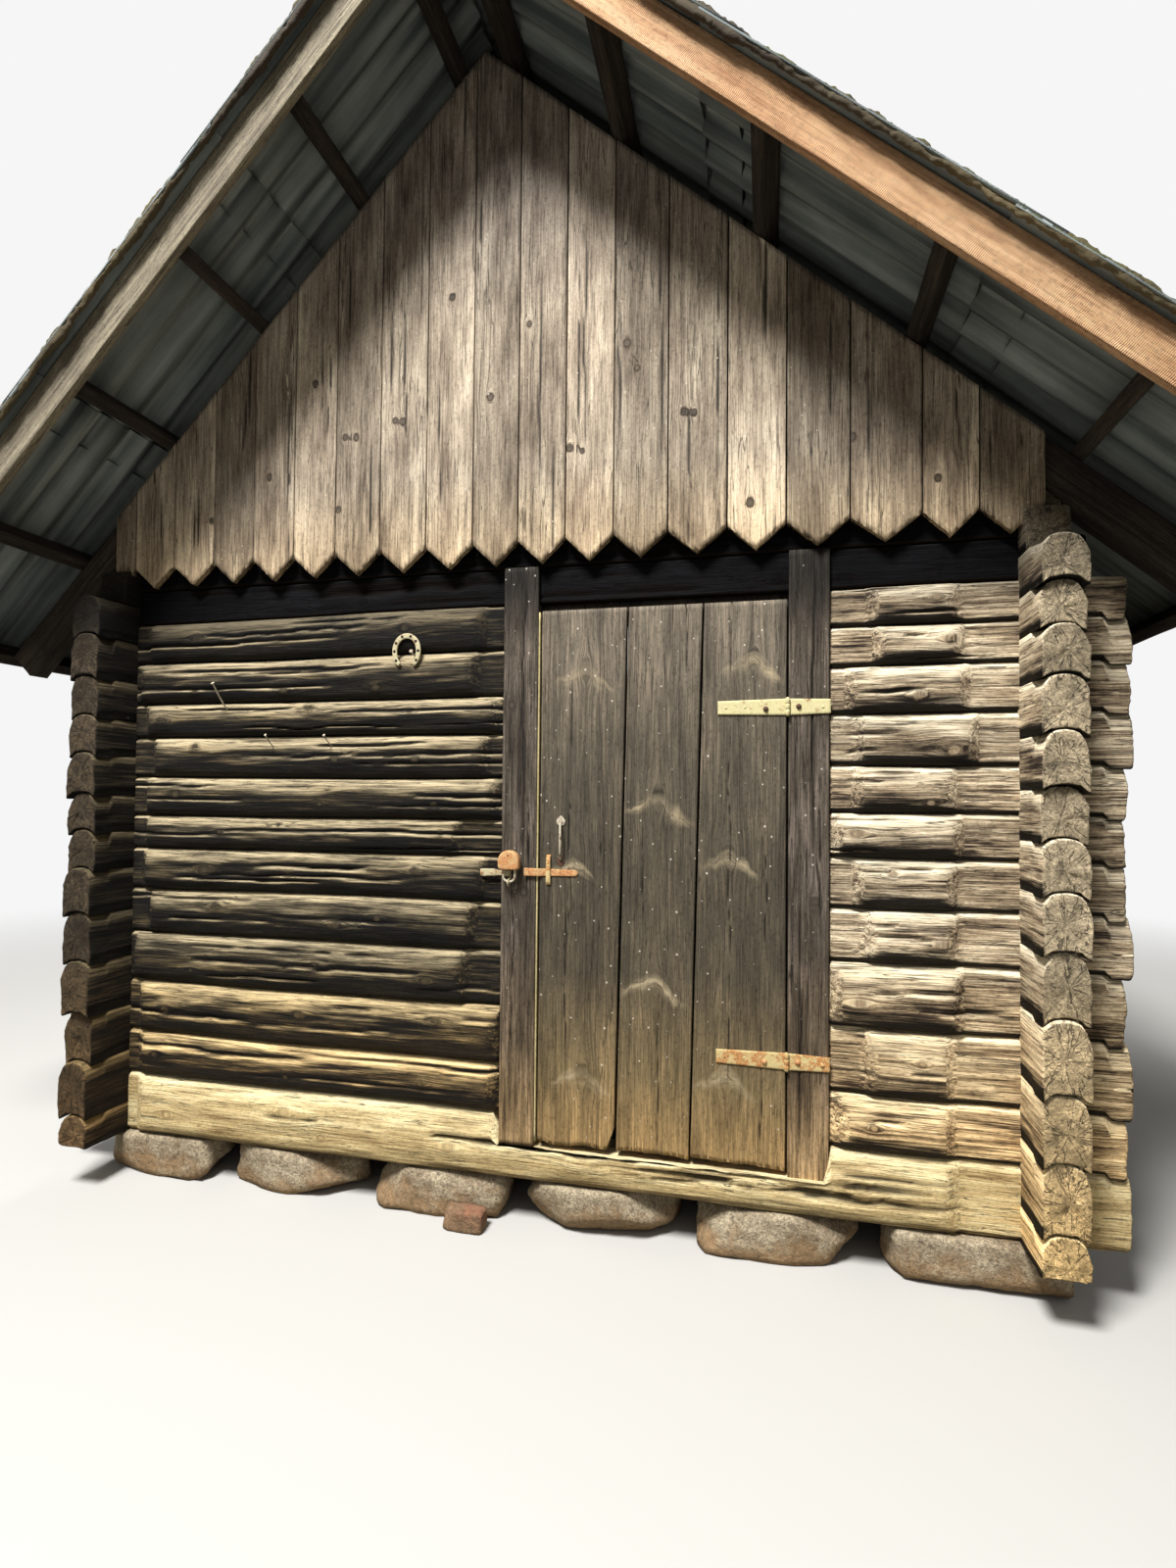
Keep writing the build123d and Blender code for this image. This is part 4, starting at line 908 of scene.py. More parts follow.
    def build(self, sunny: Material, shady: Material, lintel_shade: Material, painted_sunlight: Material,
            dim: Material) -> None:
        """Build the four walls.

        Args:
            sunny: Finish right of the doorway, on the right side and the back: the lit copy of the
                log.
            shady: Finish left of the doorway: a copy of the log darkened in painted shade.
            lintel_shade: Finish of the two logs over it: near black in painted shadow under the
                gable.
            painted_sunlight: Finish of the sill: pale wood brightened further with painted sunlight.
            dim: Finish of the left side: a copy of the log darkened in painted shade.
        """
        end_x = self.half_x + self.stub_front
        inner = self.half_x
        corner = (-inner, inner)
        last = len(self.left) - 1
        for joints, ends, name in (
                (self.left, (-end_x, self.frame_x[0] - 0.0003), "front_wall_left"),
                (self.right, (self.frame_x[1] + 0.0003, end_x), "front_wall_right")):
            skin = Skin()
            jamb = ends[1] if ends[0] < -1 else ends[0]
            for course in range(2, last - 1):
                self.log(skin, Side.FRONT, ends, (joints[course - 1], joints[course]), corner,
                         seed=course * 7 + len(name), fine=0.020, around=34, jamb=jamb,
                         crowned=course < last - 2)
            skin.make(name + "_logs", shady if jamb < 0 else sunny, "old_log", instead_of=[name])
        skin = Skin()
        self.log(skin, Side.FRONT, (-end_x, end_x), (self.left[0], self.left[1]), corner, 301,
                fine=0.024, around=30, level_cut=self.threshold, grooved=False)
        skin.make("sill_log", painted_sunlight, "old_log", instead_of=["sill_front"])
        skin = Skin()
        for course, reach in ((last - 1, self.stub_short), (last, 0.0)):
            self.log(skin, Side.FRONT, (-inner - reach, inner + reach), (self.left[course - 1],
                    self.left[course]), corner, 400 + course, fine=0.06, around=12, flat=True,
                    crowned=False, grooved=False)
        skin.make("lintel_logs", lintel_shade, "old_log", instead_of=["front_wall_over_door"])
        skin = Skin()
        for course in range(1, last + 1):
            flat = course >= last - 1
            reach = {last: 0.0, last - 1: self.stub_short}.get(course, self.stub_front)
            self.log(skin, Side.BACK, (-inner - reach, inner + reach), (self.back[course - 1],
                    self.back[course]), corner, 500 + course, fine=0.04, around=18, coarse=0.08,
                    flat=flat, crowned=course < last - 2, grooved=1 < course)
        skin.make("back_wall_logs", sunny, "old_log", instead_of=["back_wall"])
        for side, joints in self.sides.items():
            skin = Skin()
            for row in range(len(joints) - 1):
                plate = row == last
                reach = 0.0 if plate else (self.stub_short if row == last - 1 else self.stub_side)
                length = self.half_y + reach
                self.log(skin, side, (-length, length), (joints[row], joints[row + 1]),
                        (-self.half_y, self.half_y), 600 + row + 40 * (side is Side.LEFT),
                        fine=0.024, around=18, coarse=0.08, flat=plate, crowned=row < last - 1,
                        grooved=row > 0)
            name = side.name.lower() + "_wall"
            skin.make(name + "_logs", sunny if side is Side.RIGHT else dim, "old_log",
                    instead_of=[name])


def pillow(outline: Array, middle: Sequence[float], across: Sequence[float], up: Sequence[float],
        thick: float, edge: float) -> Array:
    """Flat forging with rounded edges: its outline scaled down over a quarter circle at each face.

    Args:
        outline: (around, 2) closed outline as across and up, about its own middle.
        middle: Centre of the piece.
        across: Direction of the outline's first axis.
        up: Direction of its second.
        thick: Thickness.
        edge: Radius of the rounded edge.

    Returns:
        Grid with a pole at both ends.
    """
    across, up = np.asarray(across, dtype=float), np.asarray(up, dtype=float)
    facing = np.cross(up, across)
    angle = np.linspace(0, np.pi / 2, 5)
    inset = np.concatenate([[0.0, 0.55], 1 - edge * (1 - np.sin(angle)) / np.abs(outline).max()])
    high = np.concatenate([[thick / 2] * 2, thick / 2 - edge * (1 - np.cos(angle))])
    scale = np.concatenate([inset, inset[::-1]])
    lift = np.concatenate([high, -high[::-1]])
    flat = outline[None] * scale[:, None, None]
    return (np.asarray(middle) + across * flat[..., :1] + up * flat[..., 1:]
            + facing * lift[:, None, None])


def ribbon(path: Array, side: Array, facing: Sequence[float], width: Array | float, thick: float,
        around: int = 12) -> Array:
    """Forged bar: a rounded oblong, width across and thick deep, carried along a path.

    Args:
        path: (points, 3) middle line.
        side: (points, 3) direction across the bar.
        facing: Direction of its thickness.
        width: Its width, one or one for each point.
        thick: Its thickness.
        around: Points in a section.

    Returns:
        Grid with a pole at both ends.
    """
    angle = np.linspace(0, 2 * np.pi, around, endpoint=False)
    c = np.sign(np.cos(angle)) * np.abs(np.cos(angle)) ** 0.45
    s = np.sign(np.sin(angle)) * np.abs(np.sin(angle)) ** 0.45
    reach = (np.zeros(len(path)) + width)[:, None, None] / 2
    rings = path[:, None] + reach * c[None, :, None] * side[:, None] + (
        thick / 2 * s[None, :, None] * np.asarray(facing, dtype=float))
    first = np.repeat(path[None, :1], around, axis=1)
    last = np.repeat(path[None, -1:], around, axis=1)
    return np.concatenate([first, rings, last])


@dataclass(frozen=True)
class Iron:
    """Forged iron, rusted in the open, some of it under old paint.

    The eye sees matt mottled scale, darker pits, and where there was paint its chips and edges.
    """

    name: str
    coat: str
    rust: str
    stain: str
    amount: float = 0.5
    metal: float = 0.0
    rough: float = 0.7

    def material(self) -> Material:
        """The material, built of nodes."""
        g = Graph(self.name)
        spot = g.add("TexCoord", out="Object")
        coarse = g.add("TexNoise", {
            "Vector": spot, "Scale": 42.0, "Detail": 6.0, "Roughness": 0.65})
        fine = g.add("TexNoise", {"Vector": spot, "Scale": 260.0, "Detail": 4.0, "Roughness": 0.6})
        pits = g.add("TexVoronoi", {"Vector": spot, "Scale": 420.0})
        low = 0.62 - 0.3 * self.amount
        mask = g.add("MapRange", (coarse, low, low + 0.1))
        rust = g.add("ValToRGB", (fine,), stops=[
            (0.35, linear(self.stain)), (0.62, linear(self.rust))])
        shade = g.add("MapRange", (fine, 0.3, 0.7, 0.78, 1.15))
        coat = g.add("VectorMath:MULTIPLY", (linear(self.coat)[:3], shade))
        tone = g.add("Mix:RGBA", {0: mask, 6: coat, 7: rust}, 2)
        height = g.add("Math:ADD", (fine, g.add("Math:MULTIPLY", (pits, 0.3))))
        height = g.add("Math:ADD", (coarse, height))
        rough = g.add("MapRange", (mask, 0.0, 1.0, self.rough, 0.88))
        return g.close(tone, rough, height, 0.0012, self.metal)


@dataclass(frozen=True)
class FibreCement:
    """Pressed fibre-cement sheet, weathered outdoors: pale crust, rain streaks, lichen and moss.

    The eye sees a dull grey skin, dark streaks down the waves and mossy cushions towards the edge.
    """

    name: str = "weathered_fibre_cement"
    pale: str = "878d8a"
    dark: str = "454c4d"
    moss: str = "3f4526"
    lichen: str = "a5a48c"
    moss_part: float = 0.5

    def material(self) -> Material:
        """The material, built of nodes."""
        g = Graph(self.name)
        spot = g.add("TexCoord", out="Object")
        broad = g.add("TexNoise", {"Vector": spot, "Scale": 2.6, "Detail": 6.0, "Roughness": 0.62})
        streak = g.add("VectorMath:MULTIPLY", (spot, (1.2, 26.0, 1.2)))
        streak = g.add("TexNoise", {"Vector": streak, "Scale": 1.0, "Detail": 5.0})
        grit = g.add("TexNoise", {"Vector": spot, "Scale": 240.0, "Detail": 4.0})
        tone = g.add("ValToRGB", (streak,), stops=[
            (0.32, linear(self.dark)), (0.66, linear(self.pale))])
        shade = g.add("MapRange", (broad, 0.3, 0.7, 0.7, 1.2))
        tone = g.add("VectorMath:MULTIPLY", (tone, shade))
        up = g.add("SeparateXYZ", (g.add("NewGeometry", out="Normal"),), 2)
        above = g.add("MapRange", (up, 0.1, 0.35, 0.0, 1.0))
        cushions = g.add("TexNoise", {
            "Vector": spot, "Scale": 9.0, "Detail": 8.0, "Roughness": 0.7})
        low = 0.62 - 0.2 * self.moss_part
        moss = g.add("MapRange", (cushions, low, low + 0.06))
        moss = g.add("Math:MULTIPLY", (moss, above), use_clamp=True)
        green = g.add("MapRange", (grit, 0.3, 0.7, 0.5, 1.5))
        green = g.add("VectorMath:MULTIPLY", (linear(self.moss)[:3], green))
        tone = g.add("Mix:RGBA", {0: moss, 6: tone, 7: green}, 2)
        scab = g.add("TexVoronoi", {"Vector": spot, "Scale": 26.0, "Randomness": 1.0})
        scab = g.add("MapRange", (scab, 0.1, 0.2, 0.7, 0.0))
        scab = g.add("Math:MULTIPLY", (scab, above), use_clamp=True)
        tone = g.add("Mix:RGBA", {0: scab, 6: tone, 7: linear(self.lichen)}, 2)
        height = g.add("Math:ADD", (grit, g.add("Math:MULTIPLY", (moss, 4.0))))
        return g.close(tone, 0.92, height, 0.0015)


@dataclass(frozen=True)
class FieldStone:
    """Granite field stone with earth on it: speckled grains, a rough skin and tan dust below."""

    name: str
    pale: str
    dark: str
    earth: str
    grain_mm: float = 5.0

    def material(self) -> Material:
        """The material, built of nodes."""
        g = Graph(self.name)
        spot = g.add("TexCoord", out="Object")
        broad = g.add("TexNoise", {"Vector": spot, "Scale": 9.0, "Detail": 8.0, "Roughness": 0.7})
        speck = g.add("TexVoronoi", {"Vector": spot, "Scale": 1000.0 / self.grain_mm}, out="Color")
        speck = g.add("SeparateXYZ", (speck,))
        pit = g.add("TexNoise", {"Vector": spot, "Scale": 70.0, "Detail": 5.0, "Roughness": 0.75})
        tone = g.add("ValToRGB", (broad,), stops=[
            (0.36, linear(self.dark)), (0.6, linear(self.pale))])
        shade = g.add("MapRange", (speck, 0.0, 1.0, 0.62, 1.3))
        tone = g.add("VectorMath:MULTIPLY", (tone, shade))
        tone = g.add("VectorMath:MULTIPLY", (tone, g.add("MapRange", (pit, 0.3, 0.5, 0.35, 1.0))))
        level = g.add("SeparateXYZ", (spot,), 2)
        dusty = g.add("Math:ADD", (level, g.add("MapRange", (broad, 0.3, 0.7, -0.07, 0.07))))
        dusty = g.add("MapRange", (dusty, 0.03, 0.11, 0.9, 0.0))
        soil = g.add("MapRange", (pit, 0.3, 0.7, 0.5, 1.4))
        soil = g.add("VectorMath:MULTIPLY", (linear(self.earth)[:3], soil))
        tone = g.add("Mix:RGBA", {0: dusty, 6: tone, 7: soil}, 2)
        height = g.add("Math:ADD", (broad, g.add("Math:MULTIPLY", (pit, 0.35))))
        return g.close(tone, 0.9, height, 0.016)


@dataclass
class Slope:
    """One side of the roof: u runs down it from the ridge, w stands square to it."""

    way: int
    peak: tuple[float, float] = (-0.130, 3.962)
    wall: float = 1.6425
    wall_level: float = 2.425
    eave: float = 2.2235
    sheet_top: float = 0.1093

    def __post_init__(self) -> None:
        """Work out its steepness, its lower end and its directions."""
        run = self.wall - self.way * self.peak[0]
        self.angle = atan2(self.peak[1] - self.wall_level, run)
        self.c, self.s = cos(self.angle), sin(self.angle)
        self.run = self.eave - self.way * self.peak[0]
        self.foot = (self.run - self.sheet_top * self.s) / self.c
        self.top = np.array((self.peak[0], 0.0, self.peak[1]))
        self.down = np.array((self.way * self.c, 0.0, -self.s))
        self.square = np.array((self.way * self.s, 0.0, self.c))

    def at(self, u: Array, y: Array, w: Array) -> Array:
        """Points at these values of u, y and w."""
        u, y, w = (np.asarray(v, dtype=float)[..., None] for v in np.broadcast_arrays(u, y, w))
        return self.top + self.down * u + np.array((0.0, 1.0, 0.0)) * y + self.square * w


SLOPES = {1: Slope(1), -1: Slope(-1)}
MITRE = tan((SLOPES[1].angle + SLOPES[-1].angle) / 2)


def under_roof(x: Array) -> Array:
    """Level of the battens' underside over these places across the house."""
    peak, level = SLOPES[1].peak
    fall = {way: slope.s / slope.c for way, slope in SLOPES.items()}
    return level - np.where(x > peak, (x - peak) * fall[1], (peak - x) * fall[-1])


@dataclass
class Gables:
    """Upright boards with pointed feet over the front and the back wall."""

    widths: tuple[float, ...] = (.090, .170, .171, .166, .165, .165, .172, .174, .170, .161, .163,
            .161, .176, .186, .179, .187, .203, .155, .173)
    left: float = -1.6005
    face_y: float = 1.915
    thick: float = 0.025
    tip: float = 2.185
    point: float = 0.075
    knots: tuple[tuple[float, float, float], ...] = ((-0.417, 2.709, 0.009), (-0.447, 2.716, 0.008),
            (-0.098, 2.758, 0.010), (0.037, 2.990, 0.008), (0.369, 2.881, 0.010), (0.402, 2.797,
            0.008), (0.553, 2.638, 0.009), (0.585, 2.632, 0.008), (1.061, 2.507, 0.009),
            (-0.661, 2.420, 0.008), (-0.639, 2.676, 0.008), (-0.596, 2.671, 0.009), (-0.760, 2.880,
            0.009), (0.180, 2.560, 0.010), (0.222, 2.545, 0.007), (-0.240, 3.120, 0.009),
            (-0.940, 2.560, 0.008), (0.760, 2.330, 0.010), (-1.180, 2.420, 0.008), (1.300, 2.360,
            0.008))

    def build(self, finish: Material, iron: Material) -> None:
        """Build both gables.

        Args:
            finish: Finish of the boards.
            iron: Finish of their nails.
        """
        seams = self.left + np.concatenate([[0.0], np.cumsum(self.widths)])
        for name, way in (("front", 1.0), ("back", -1.0)):
            skin, nails = Skin(), Skin()
            fine = 0.022 if way > 0 else 0.06
            for index, (x0, x1) in enumerate(zip(seams, seams[1:])):
                draw = np.random.default_rng(index + 90)
                middle, width = (x0 + x1) / 2, x1 - x0 - 0.003
                back = draw.uniform(0.0, 0.003)
                high = float(under_roof(np.array(middle)))
                marks = scattered(index + 31, (self.tip + 0.1, high), (-0.07, 0.07),
                        max(1, int((high - self.tip) * 2.6)), 2, 0.011, 0.003)
                if way > 0:
                    marks.knots = [(z, x - middle, r) for x, z, r in self.knots if x0 < x < x1]

                def foot(w: Array, d: Array, half: float = width / 2, n: int = index) -> Array:
                    """The point rises from the middle of the foot to both its sides."""
                    worn = lumps(stacked(w, d * 0, w * 0 + n), (0.007, 1, 1), 8) * 0.002 + 0.002
                    return self.tip + np.abs(w) / half * self.point + worn

                def head(w: Array, d: Array, x: float = middle, turn: float = way) -> Array:
                    """The head follows the roof."""
                    return under_roof(x + turn * w) - 0.004

                pith = (draw.uniform(0.03, 0.12), draw.uniform(-0.05, 0.05))
                Beam((middle, -way * (self.face_y + (self.thick - back) / 2), 0), (0, 0, 1),
                     (way, 0, 0), width, self.thick - back, foot, head, index + 31, fine,
                     (20 if way > 0 else 8, 1), 0.0015, 0.0012, pith=pith, marks=marks).lay(skin)
                top_row = min(high - 0.15, self.tip + 0.62)
                for level in (self.tip + 0.085, self.tip + 0.115, top_row):
                    for side in (-0.3, 0.28):
                        spot = (middle + side * width + draw.uniform(-0.01, 0.01),
                                -way * (self.face_y + self.thick - back - 0.0025),
                                level + draw.uniform(-0.02, 0.02))
                        if level < float(under_roof(np.array(spot[0]))) - 0.06:
                            nails.add(dome(spot, (0, -way, 0), 0.0035, 0.002, 7))
            skin.make("gable_boards_" + name, finish, "gable_board", instead_of=["gable_" + name])
            nails.make("gable_nails_" + name, iron, "grey_iron")


@dataclass
class DoorFrame:
    """Posts and head round the doorway."""

    face_y: float = 1.915
    wall_y: float = 1.900
    back_y: float = 1.765
    outer: tuple[float, float] = (-0.0495, 0.9995)
    way: tuple[float, float] = (0.0725, 0.8775)
    threshold: float = 0.265
    lintel_z: float = 2.057
    face_top: float = 2.182
    foot: float = 0.095
    rebate: float = 0.020
    rebate_y: float = 1.880
    leaf_top: float = 2.030

    def build(self, finish: Material, lath: Material) -> None:
        """Build the two posts, the head and the pale lath in the latch gap.

        Args:
            finish: Finish of the posts and the head.
            lath: Finish of the lath.
        """
        for name, x0, x1, low, inner in (
                ("latch", self.outer[0], self.way[0], self.threshold, self.way[0]),
                ("hinge", self.way[1], self.outer[1], self.threshold - self.foot, self.way[1])):
            skin = Skin()
            middle, width = (x0 + x1) / 2, x1 - x0
            seed = len(name) + int(x1 * 10)
            marks = Marks([(1.1, 0.02, 0.012), (1.72, -0.03, 0.010)], [
                (1.7, 0.012, 0.95, 0.007, 0.012), (0.75, -0.022, 0.8, 0.006, 0.010),
                (1.25, 0.034, 0.5, 0.005, 0.008)], seed)
            Beam((middle, -(self.face_y + self.wall_y) / 2 + 0.0002, 0), (0, 0, 1), (1, 0, 0),
                    width, self.face_y - self.wall_y - 0.0004, low, self.face_top, seed, 0.018,
                    (24, 1), 0.003, 0.0012, marks=marks).lay(skin)
            Beam((middle, -(self.wall_y + self.back_y) / 2, 0), (0, 0, 1), (1, 0, 0), width,
                 self.wall_y - self.back_y, self.threshold, self.lintel_z, seed + 1, 0.04, (4, 6),
                 0.001, 0.0008).lay(skin)
            turn = 1 if name == "latch" else -1
            Beam((inner + turn * self.rebate / 2, -(self.rebate_y + self.back_y) / 2, 0), (0, 0, 1),
                 (1, 0, 0), self.rebate, self.rebate_y - self.back_y, self.threshold, self.lintel_z,
                 seed + 2, 0.05, (2, 4), 0.001, 0.0008).lay(skin)
            skin.make(name + "_post_timber", finish, "post_board", instead_of=[name + "_post"])
        skin = Skin()
        width = self.way[1] - self.way[0] - 2 * self.rebate - 0.0006
        Beam(((self.way[0] + self.way[1]) / 2, -(self.rebate_y + 1.780) / 2, 0), (0, 0, 1),
             (1, 0, 0), width, self.rebate_y - 1.780, self.leaf_top - self.rebate, self.lintel_z,
             5, 0.02, (30, 3), 0.002, 0.001).lay(skin)
        skin.make("door_head_rail", finish, "post_board", instead_of=["door_head"])
        skin = Skin()
        Beam((self.way[0] + 0.003, -1.901, 0), (0, 0, 1), (1, 0, 0), 0.006, 0.022, 0.285, 2.028, 9,
             0.03, (2, 3), 0.001, 0.0006).lay(skin)
        skin.make("latch_gap_lath", lath, "post_board")


@dataclass
class Door:
    """Leaf of three planks on two ledges."""

    left: float = 0.0845
    right: float = 0.8725
    seam_a: tuple[float, float] = (0.3445, 0.3745)
    seam_b: tuple[float, float] = (0.5815, 0.6165)
    foot: float = 0.280
    head: float = 2.030
    face_y: float = 1.915
    thick: float = 0.030
    gap: float = 0.0050
    ledges: tuple[float, float] = (0.285, 1.367)
    ledge_w: float = 0.100
    ledge_t: float = 0.025
    ledge_x: tuple[float, float] = (0.1225, 0.8275)

    def build(self, finish: Material) -> None:
        """Build the planks, each with its own knots, and the ledges behind them."""
        g = self.gap / 2
        (a0, a1), (b0, b1) = self.seam_a, self.seam_b
        edges = [((self.left, self.left), (a0 - g, a1 - g)), ((a0 + g, a1 + g), (b0 - g, b1 - g)),
                 ((b0 + g, b1 + g), (self.right, self.right))]
        knots = [[(1.832, 0.237, 0.017), (1.201, 0.200, 0.013), (0.524, 0.235, 0.017)],
                 [(1.411, 0.478, 0.019), (0.835, 0.470, 0.018)],
                 [(1.849, 0.775, 0.016), (1.236, 0.700, 0.016), (0.549, 0.696, 0.017)]]
        cracks = [((1.4, -0.035, 1.1), (0.75, -0.045, 0.8), 0.07),
                  ((1.95, 0.08, 0.3), (0.5, 0.004, 0.6), -0.05),
                  ((1.2, -0.035, 1.9), (0.5, 0.06, 0.5), 0.075)]
        for n, ((l0, l1), (r0, r1)) in enumerate(edges):
            centre = (l0 + l1 + r0 + r1) / 4
            width = (r0 + r1 - l0 - l1) / 2
            long, short, side = cracks[n]
            marks = Marks([(z, x - centre, r) for z, x, r in knots[n]], [
                (*long, 0.004, 0.005), (*short, 0.005, 0.006), (1.15, side, 0.5, 0.003, 0.004)],
                n + 2)

            def ragged(w: Array, d: Array, n: int = n, half: float = width / 2) -> Array:
                """Worn foot: two sizes of bites, and a lost corner on the first plank."""
                spot = stacked(w, d * 0, w * 0 + n)
                bites = 0.007 + 0.006 * lumps(spot, (0.03, 1, 1), 4)
                bites = bites + 0.003 * lumps(spot, (0.006, 1, 1), 5)
                lost = 0.085 * ease(w, half - 0.045, half - 0.004) if n == 0 else 0.0
                return self.foot + bites + lost

            skin = Skin()
            taper = ((l0 + r0) / 2 - centre, (r0 - l0) / width - 1, (l1 + r1) / 2 - centre,
                     (r1 - l1) / width - 1)
            Beam((centre, -(self.face_y - self.thick / 2), 0), (0, 0, 1), (1, 0, 0), width,
                 self.thick, ragged, self.head, n + 3, 0.015, (54, 2), 0.003, 0.0012, taper=taper,
                 pith=(0.05, (0.03, -0.02, 0.04)[n]), marks=marks).lay(skin)
            skin.make(f"door_plank_{n + 1}_board", finish, "door_plank", "door",
                    [f"door_plank_{n + 1}"])
        skin = Skin()
        x0, x1 = self.ledge_x
        for at in self.ledges:
            y = -(self.face_y - self.thick - self.ledge_t / 2)
            Beam((0, y, self.foot + at + self.ledge_w / 2), (1, 0, 0), (0, 0, 1), self.ledge_w,
                 self.ledge_t, x0, x1, int(at * 100), 0.02, (10, 2), 0.003, 0.001).lay(skin)
        skin.make("door_ledge_boards", finish, "door_plank", "door", ["door_ledges"])


@dataclass
class Roof:
    """Rafters, battens, lapped corrugated sheets, ridge cap, barge boards and the moss on them."""

    rafter: tuple[float, float] = (0.080, 0.115)
    rafter_y: float = 1.875
    pairs: int = 5
    tail_back: float = 0.060
    batten: tuple[float, float] = (0.050, 0.075)
    places: tuple[tuple[float, ...], ...] = ((.075, .458, .910, 1.358, 1.802, 2.2505), (.075, .445,
            .840, 1.225, 1.640, 1.9905))
    barge_y: float = 2.370
    barge_h: float = 0.112
    barge_t: float = 0.028
    barge_top: float = 0.103
    barge_back: float = 0.030
    valleys: int = 41
    verge_y: float = 2.415
    sheet_low: float = 0.0753
    wave_d: float = 0.028
    sheet_t: float = 0.006
    bands: int = 7
    rows: int = 3
    lap: float = 0.14
    ridge_gap: float = 0.010
    wing: float = 0.190

    def timber(self, finish: Material) -> None:
        """Build rafters and battens of both slopes."""
        for way, places, name in ((1, self.places[0], "right"), (-1, self.places[1], "left")):
            slope, skin = SLOPES[way], Skin()
            for n in range(self.pairs):
                y = -self.rafter_y + n * 2 * self.rafter_y / (self.pairs - 1)
                base = slope.at(0, y, -self.rafter[1] / 2)

                def mitre(w: Array, d: Array) -> Array:
                    """Cut at the ridge, midway between the slopes."""
                    return (self.rafter[1] / 2 - d) * MITRE + 0.001

                Beam(base, slope.down, (0, way, 0), self.rafter[0], self.rafter[1], mitre,
                     slope.foot - self.tail_back, n + 11, 0.12, (4, 5), 0.003, 0.002).lay(skin)
            skin.make("rafter_timbers_" + name, finish, "roof_timber",
                      instead_of=["rafters_" + name])
            skin = Skin()
            end = self.barge_y - self.barge_t - 0.0005
            for n, x in enumerate(places):
                base = slope.at(x / slope.c, 0, self.batten[1] / 2)
                Beam(base, (0, 1, 0), slope.down, self.batten[0], self.batten[1], -end, end,
                     n + 21, 0.08, (4, 5), 0.004, 0.003).lay(skin)
            skin.make("batten_timbers_" + name, finish, "roof_timber",
                      instead_of=["battens_" + name])

    def barges(self, fresh: Material, old: Material) -> None:
        """Build the four barge boards.

        Args:
            fresh: Finish of the front right one.
            old: Finish of the others.
        """
        middle = self.barge_top - self.barge_h / 2
        for way, side in ((1, "right"), (-1, "left")):
            slope = SLOPES[way]
            for front, end in ((1, "front"), (-1, "back")):
                skin = Skin()
                base = slope.at(0, -front * (self.barge_y - self.barge_t / 2), middle)
                turn = front * way

                def mitre(w: Array, d: Array, turn: int = turn) -> Array:
                    """Cut at the ridge, midway between the slopes."""
                    return -(middle + turn * w) * MITRE + 0.001

                seed = 41 + way + 5 * front
                marks = scattered(seed, (0.3, 2.8), (-0.045, 0.045), 4, 2, 0.011, 0.003)
                if way > 0 and front > 0:
                    marks.cracks, marks.knots = [], [(1.277, 0.0, 0.016), (2.35, -0.02, 0.008)]
                Beam(base, slope.down, turn * slope.square, self.barge_h, self.barge_t, mitre,
                     slope.foot - self.barge_back, seed, 0.018 if front > 0 else 0.06,
                     (16, 3), 0.002, 0.001, marks=marks).lay(skin)
                slot = "new_barge" if way > 0 and front > 0 else "old_barge"
                skin.make(f"barge_board_{end}_{side}", fresh if slot == "new_barge" else old, slot,
                        instead_of=[f"barge_{end}_{side}"])

    def swell(self, y: Array) -> Array:
        """Height of the waves: half their depth times 1 + cos, level past the outermost crests."""
        inner = self.barge_y - self.barge_t
        quarter = 2 * inner / (4 * self.valleys - 1)
        crest = inner + quarter / 2
        round_y = np.clip(np.abs(y), 0, crest)
        return self.wave_d / 2 * (1 + np.cos(np.pi * (crest - round_y) / (2 * quarter)))

    def sheets(self, finish: Material) -> None:
        """Build the lapped sheets: their height follows the waves, raised where one laps."""
        for way, name in ((1, "right"), (-1, "left")):
            slope, skin = SLOPES[way], Skin()
            top_u = (self.ridge_gap - self.batten[1] * slope.s) / slope.c
            foot_u = slope.foot - 0.006
            pitch = (foot_u - top_u - self.lap) / self.rows
            width = 2 * self.verge_y / self.bands
            for row in range(self.rows):
                last = row == self.rows - 1
                for n in range(self.bands):
                    draw = np.random.default_rng(row * 50 + n + (way > 0) * 500)
                    top = top_u + row * pitch
                    foot = top + pitch + self.lap + draw.uniform(-0.006, 0.006) * (not last)
                    y = -self.verge_y + n * width + np.linspace(0.0, width - 0.0012, 56)
                    u = np.linspace(top, foot, 5)
                    up = 0.0058 * (u - top) / (foot - top) * (not last)
                    w = self.sheet_low + 0.0003 + self.swell(y)[None] + up[:, None]
                    ring_y = np.concatenate([y, y[::-1]])[None] + 0 * u[:, None]
                    ring_w = np.concatenate([w, w[:, ::-1] + self.sheet_t - 0.0006], axis=1)
                    ring_u = u[:, None] + 0 * ring_y
                    grid = [np.concatenate([v[:1].mean() + 0 * v[:1], v,
                                            v[-1:].mean() + 0 * v[-1:]])
                            for v in (ring_u, ring_y, ring_w)]
                    skin.add(slope.at(*grid))
            skin.make("corrugated_sheets_" + name, finish, "fibre_cement",
                    instead_of=["roof_sheets_" + name])

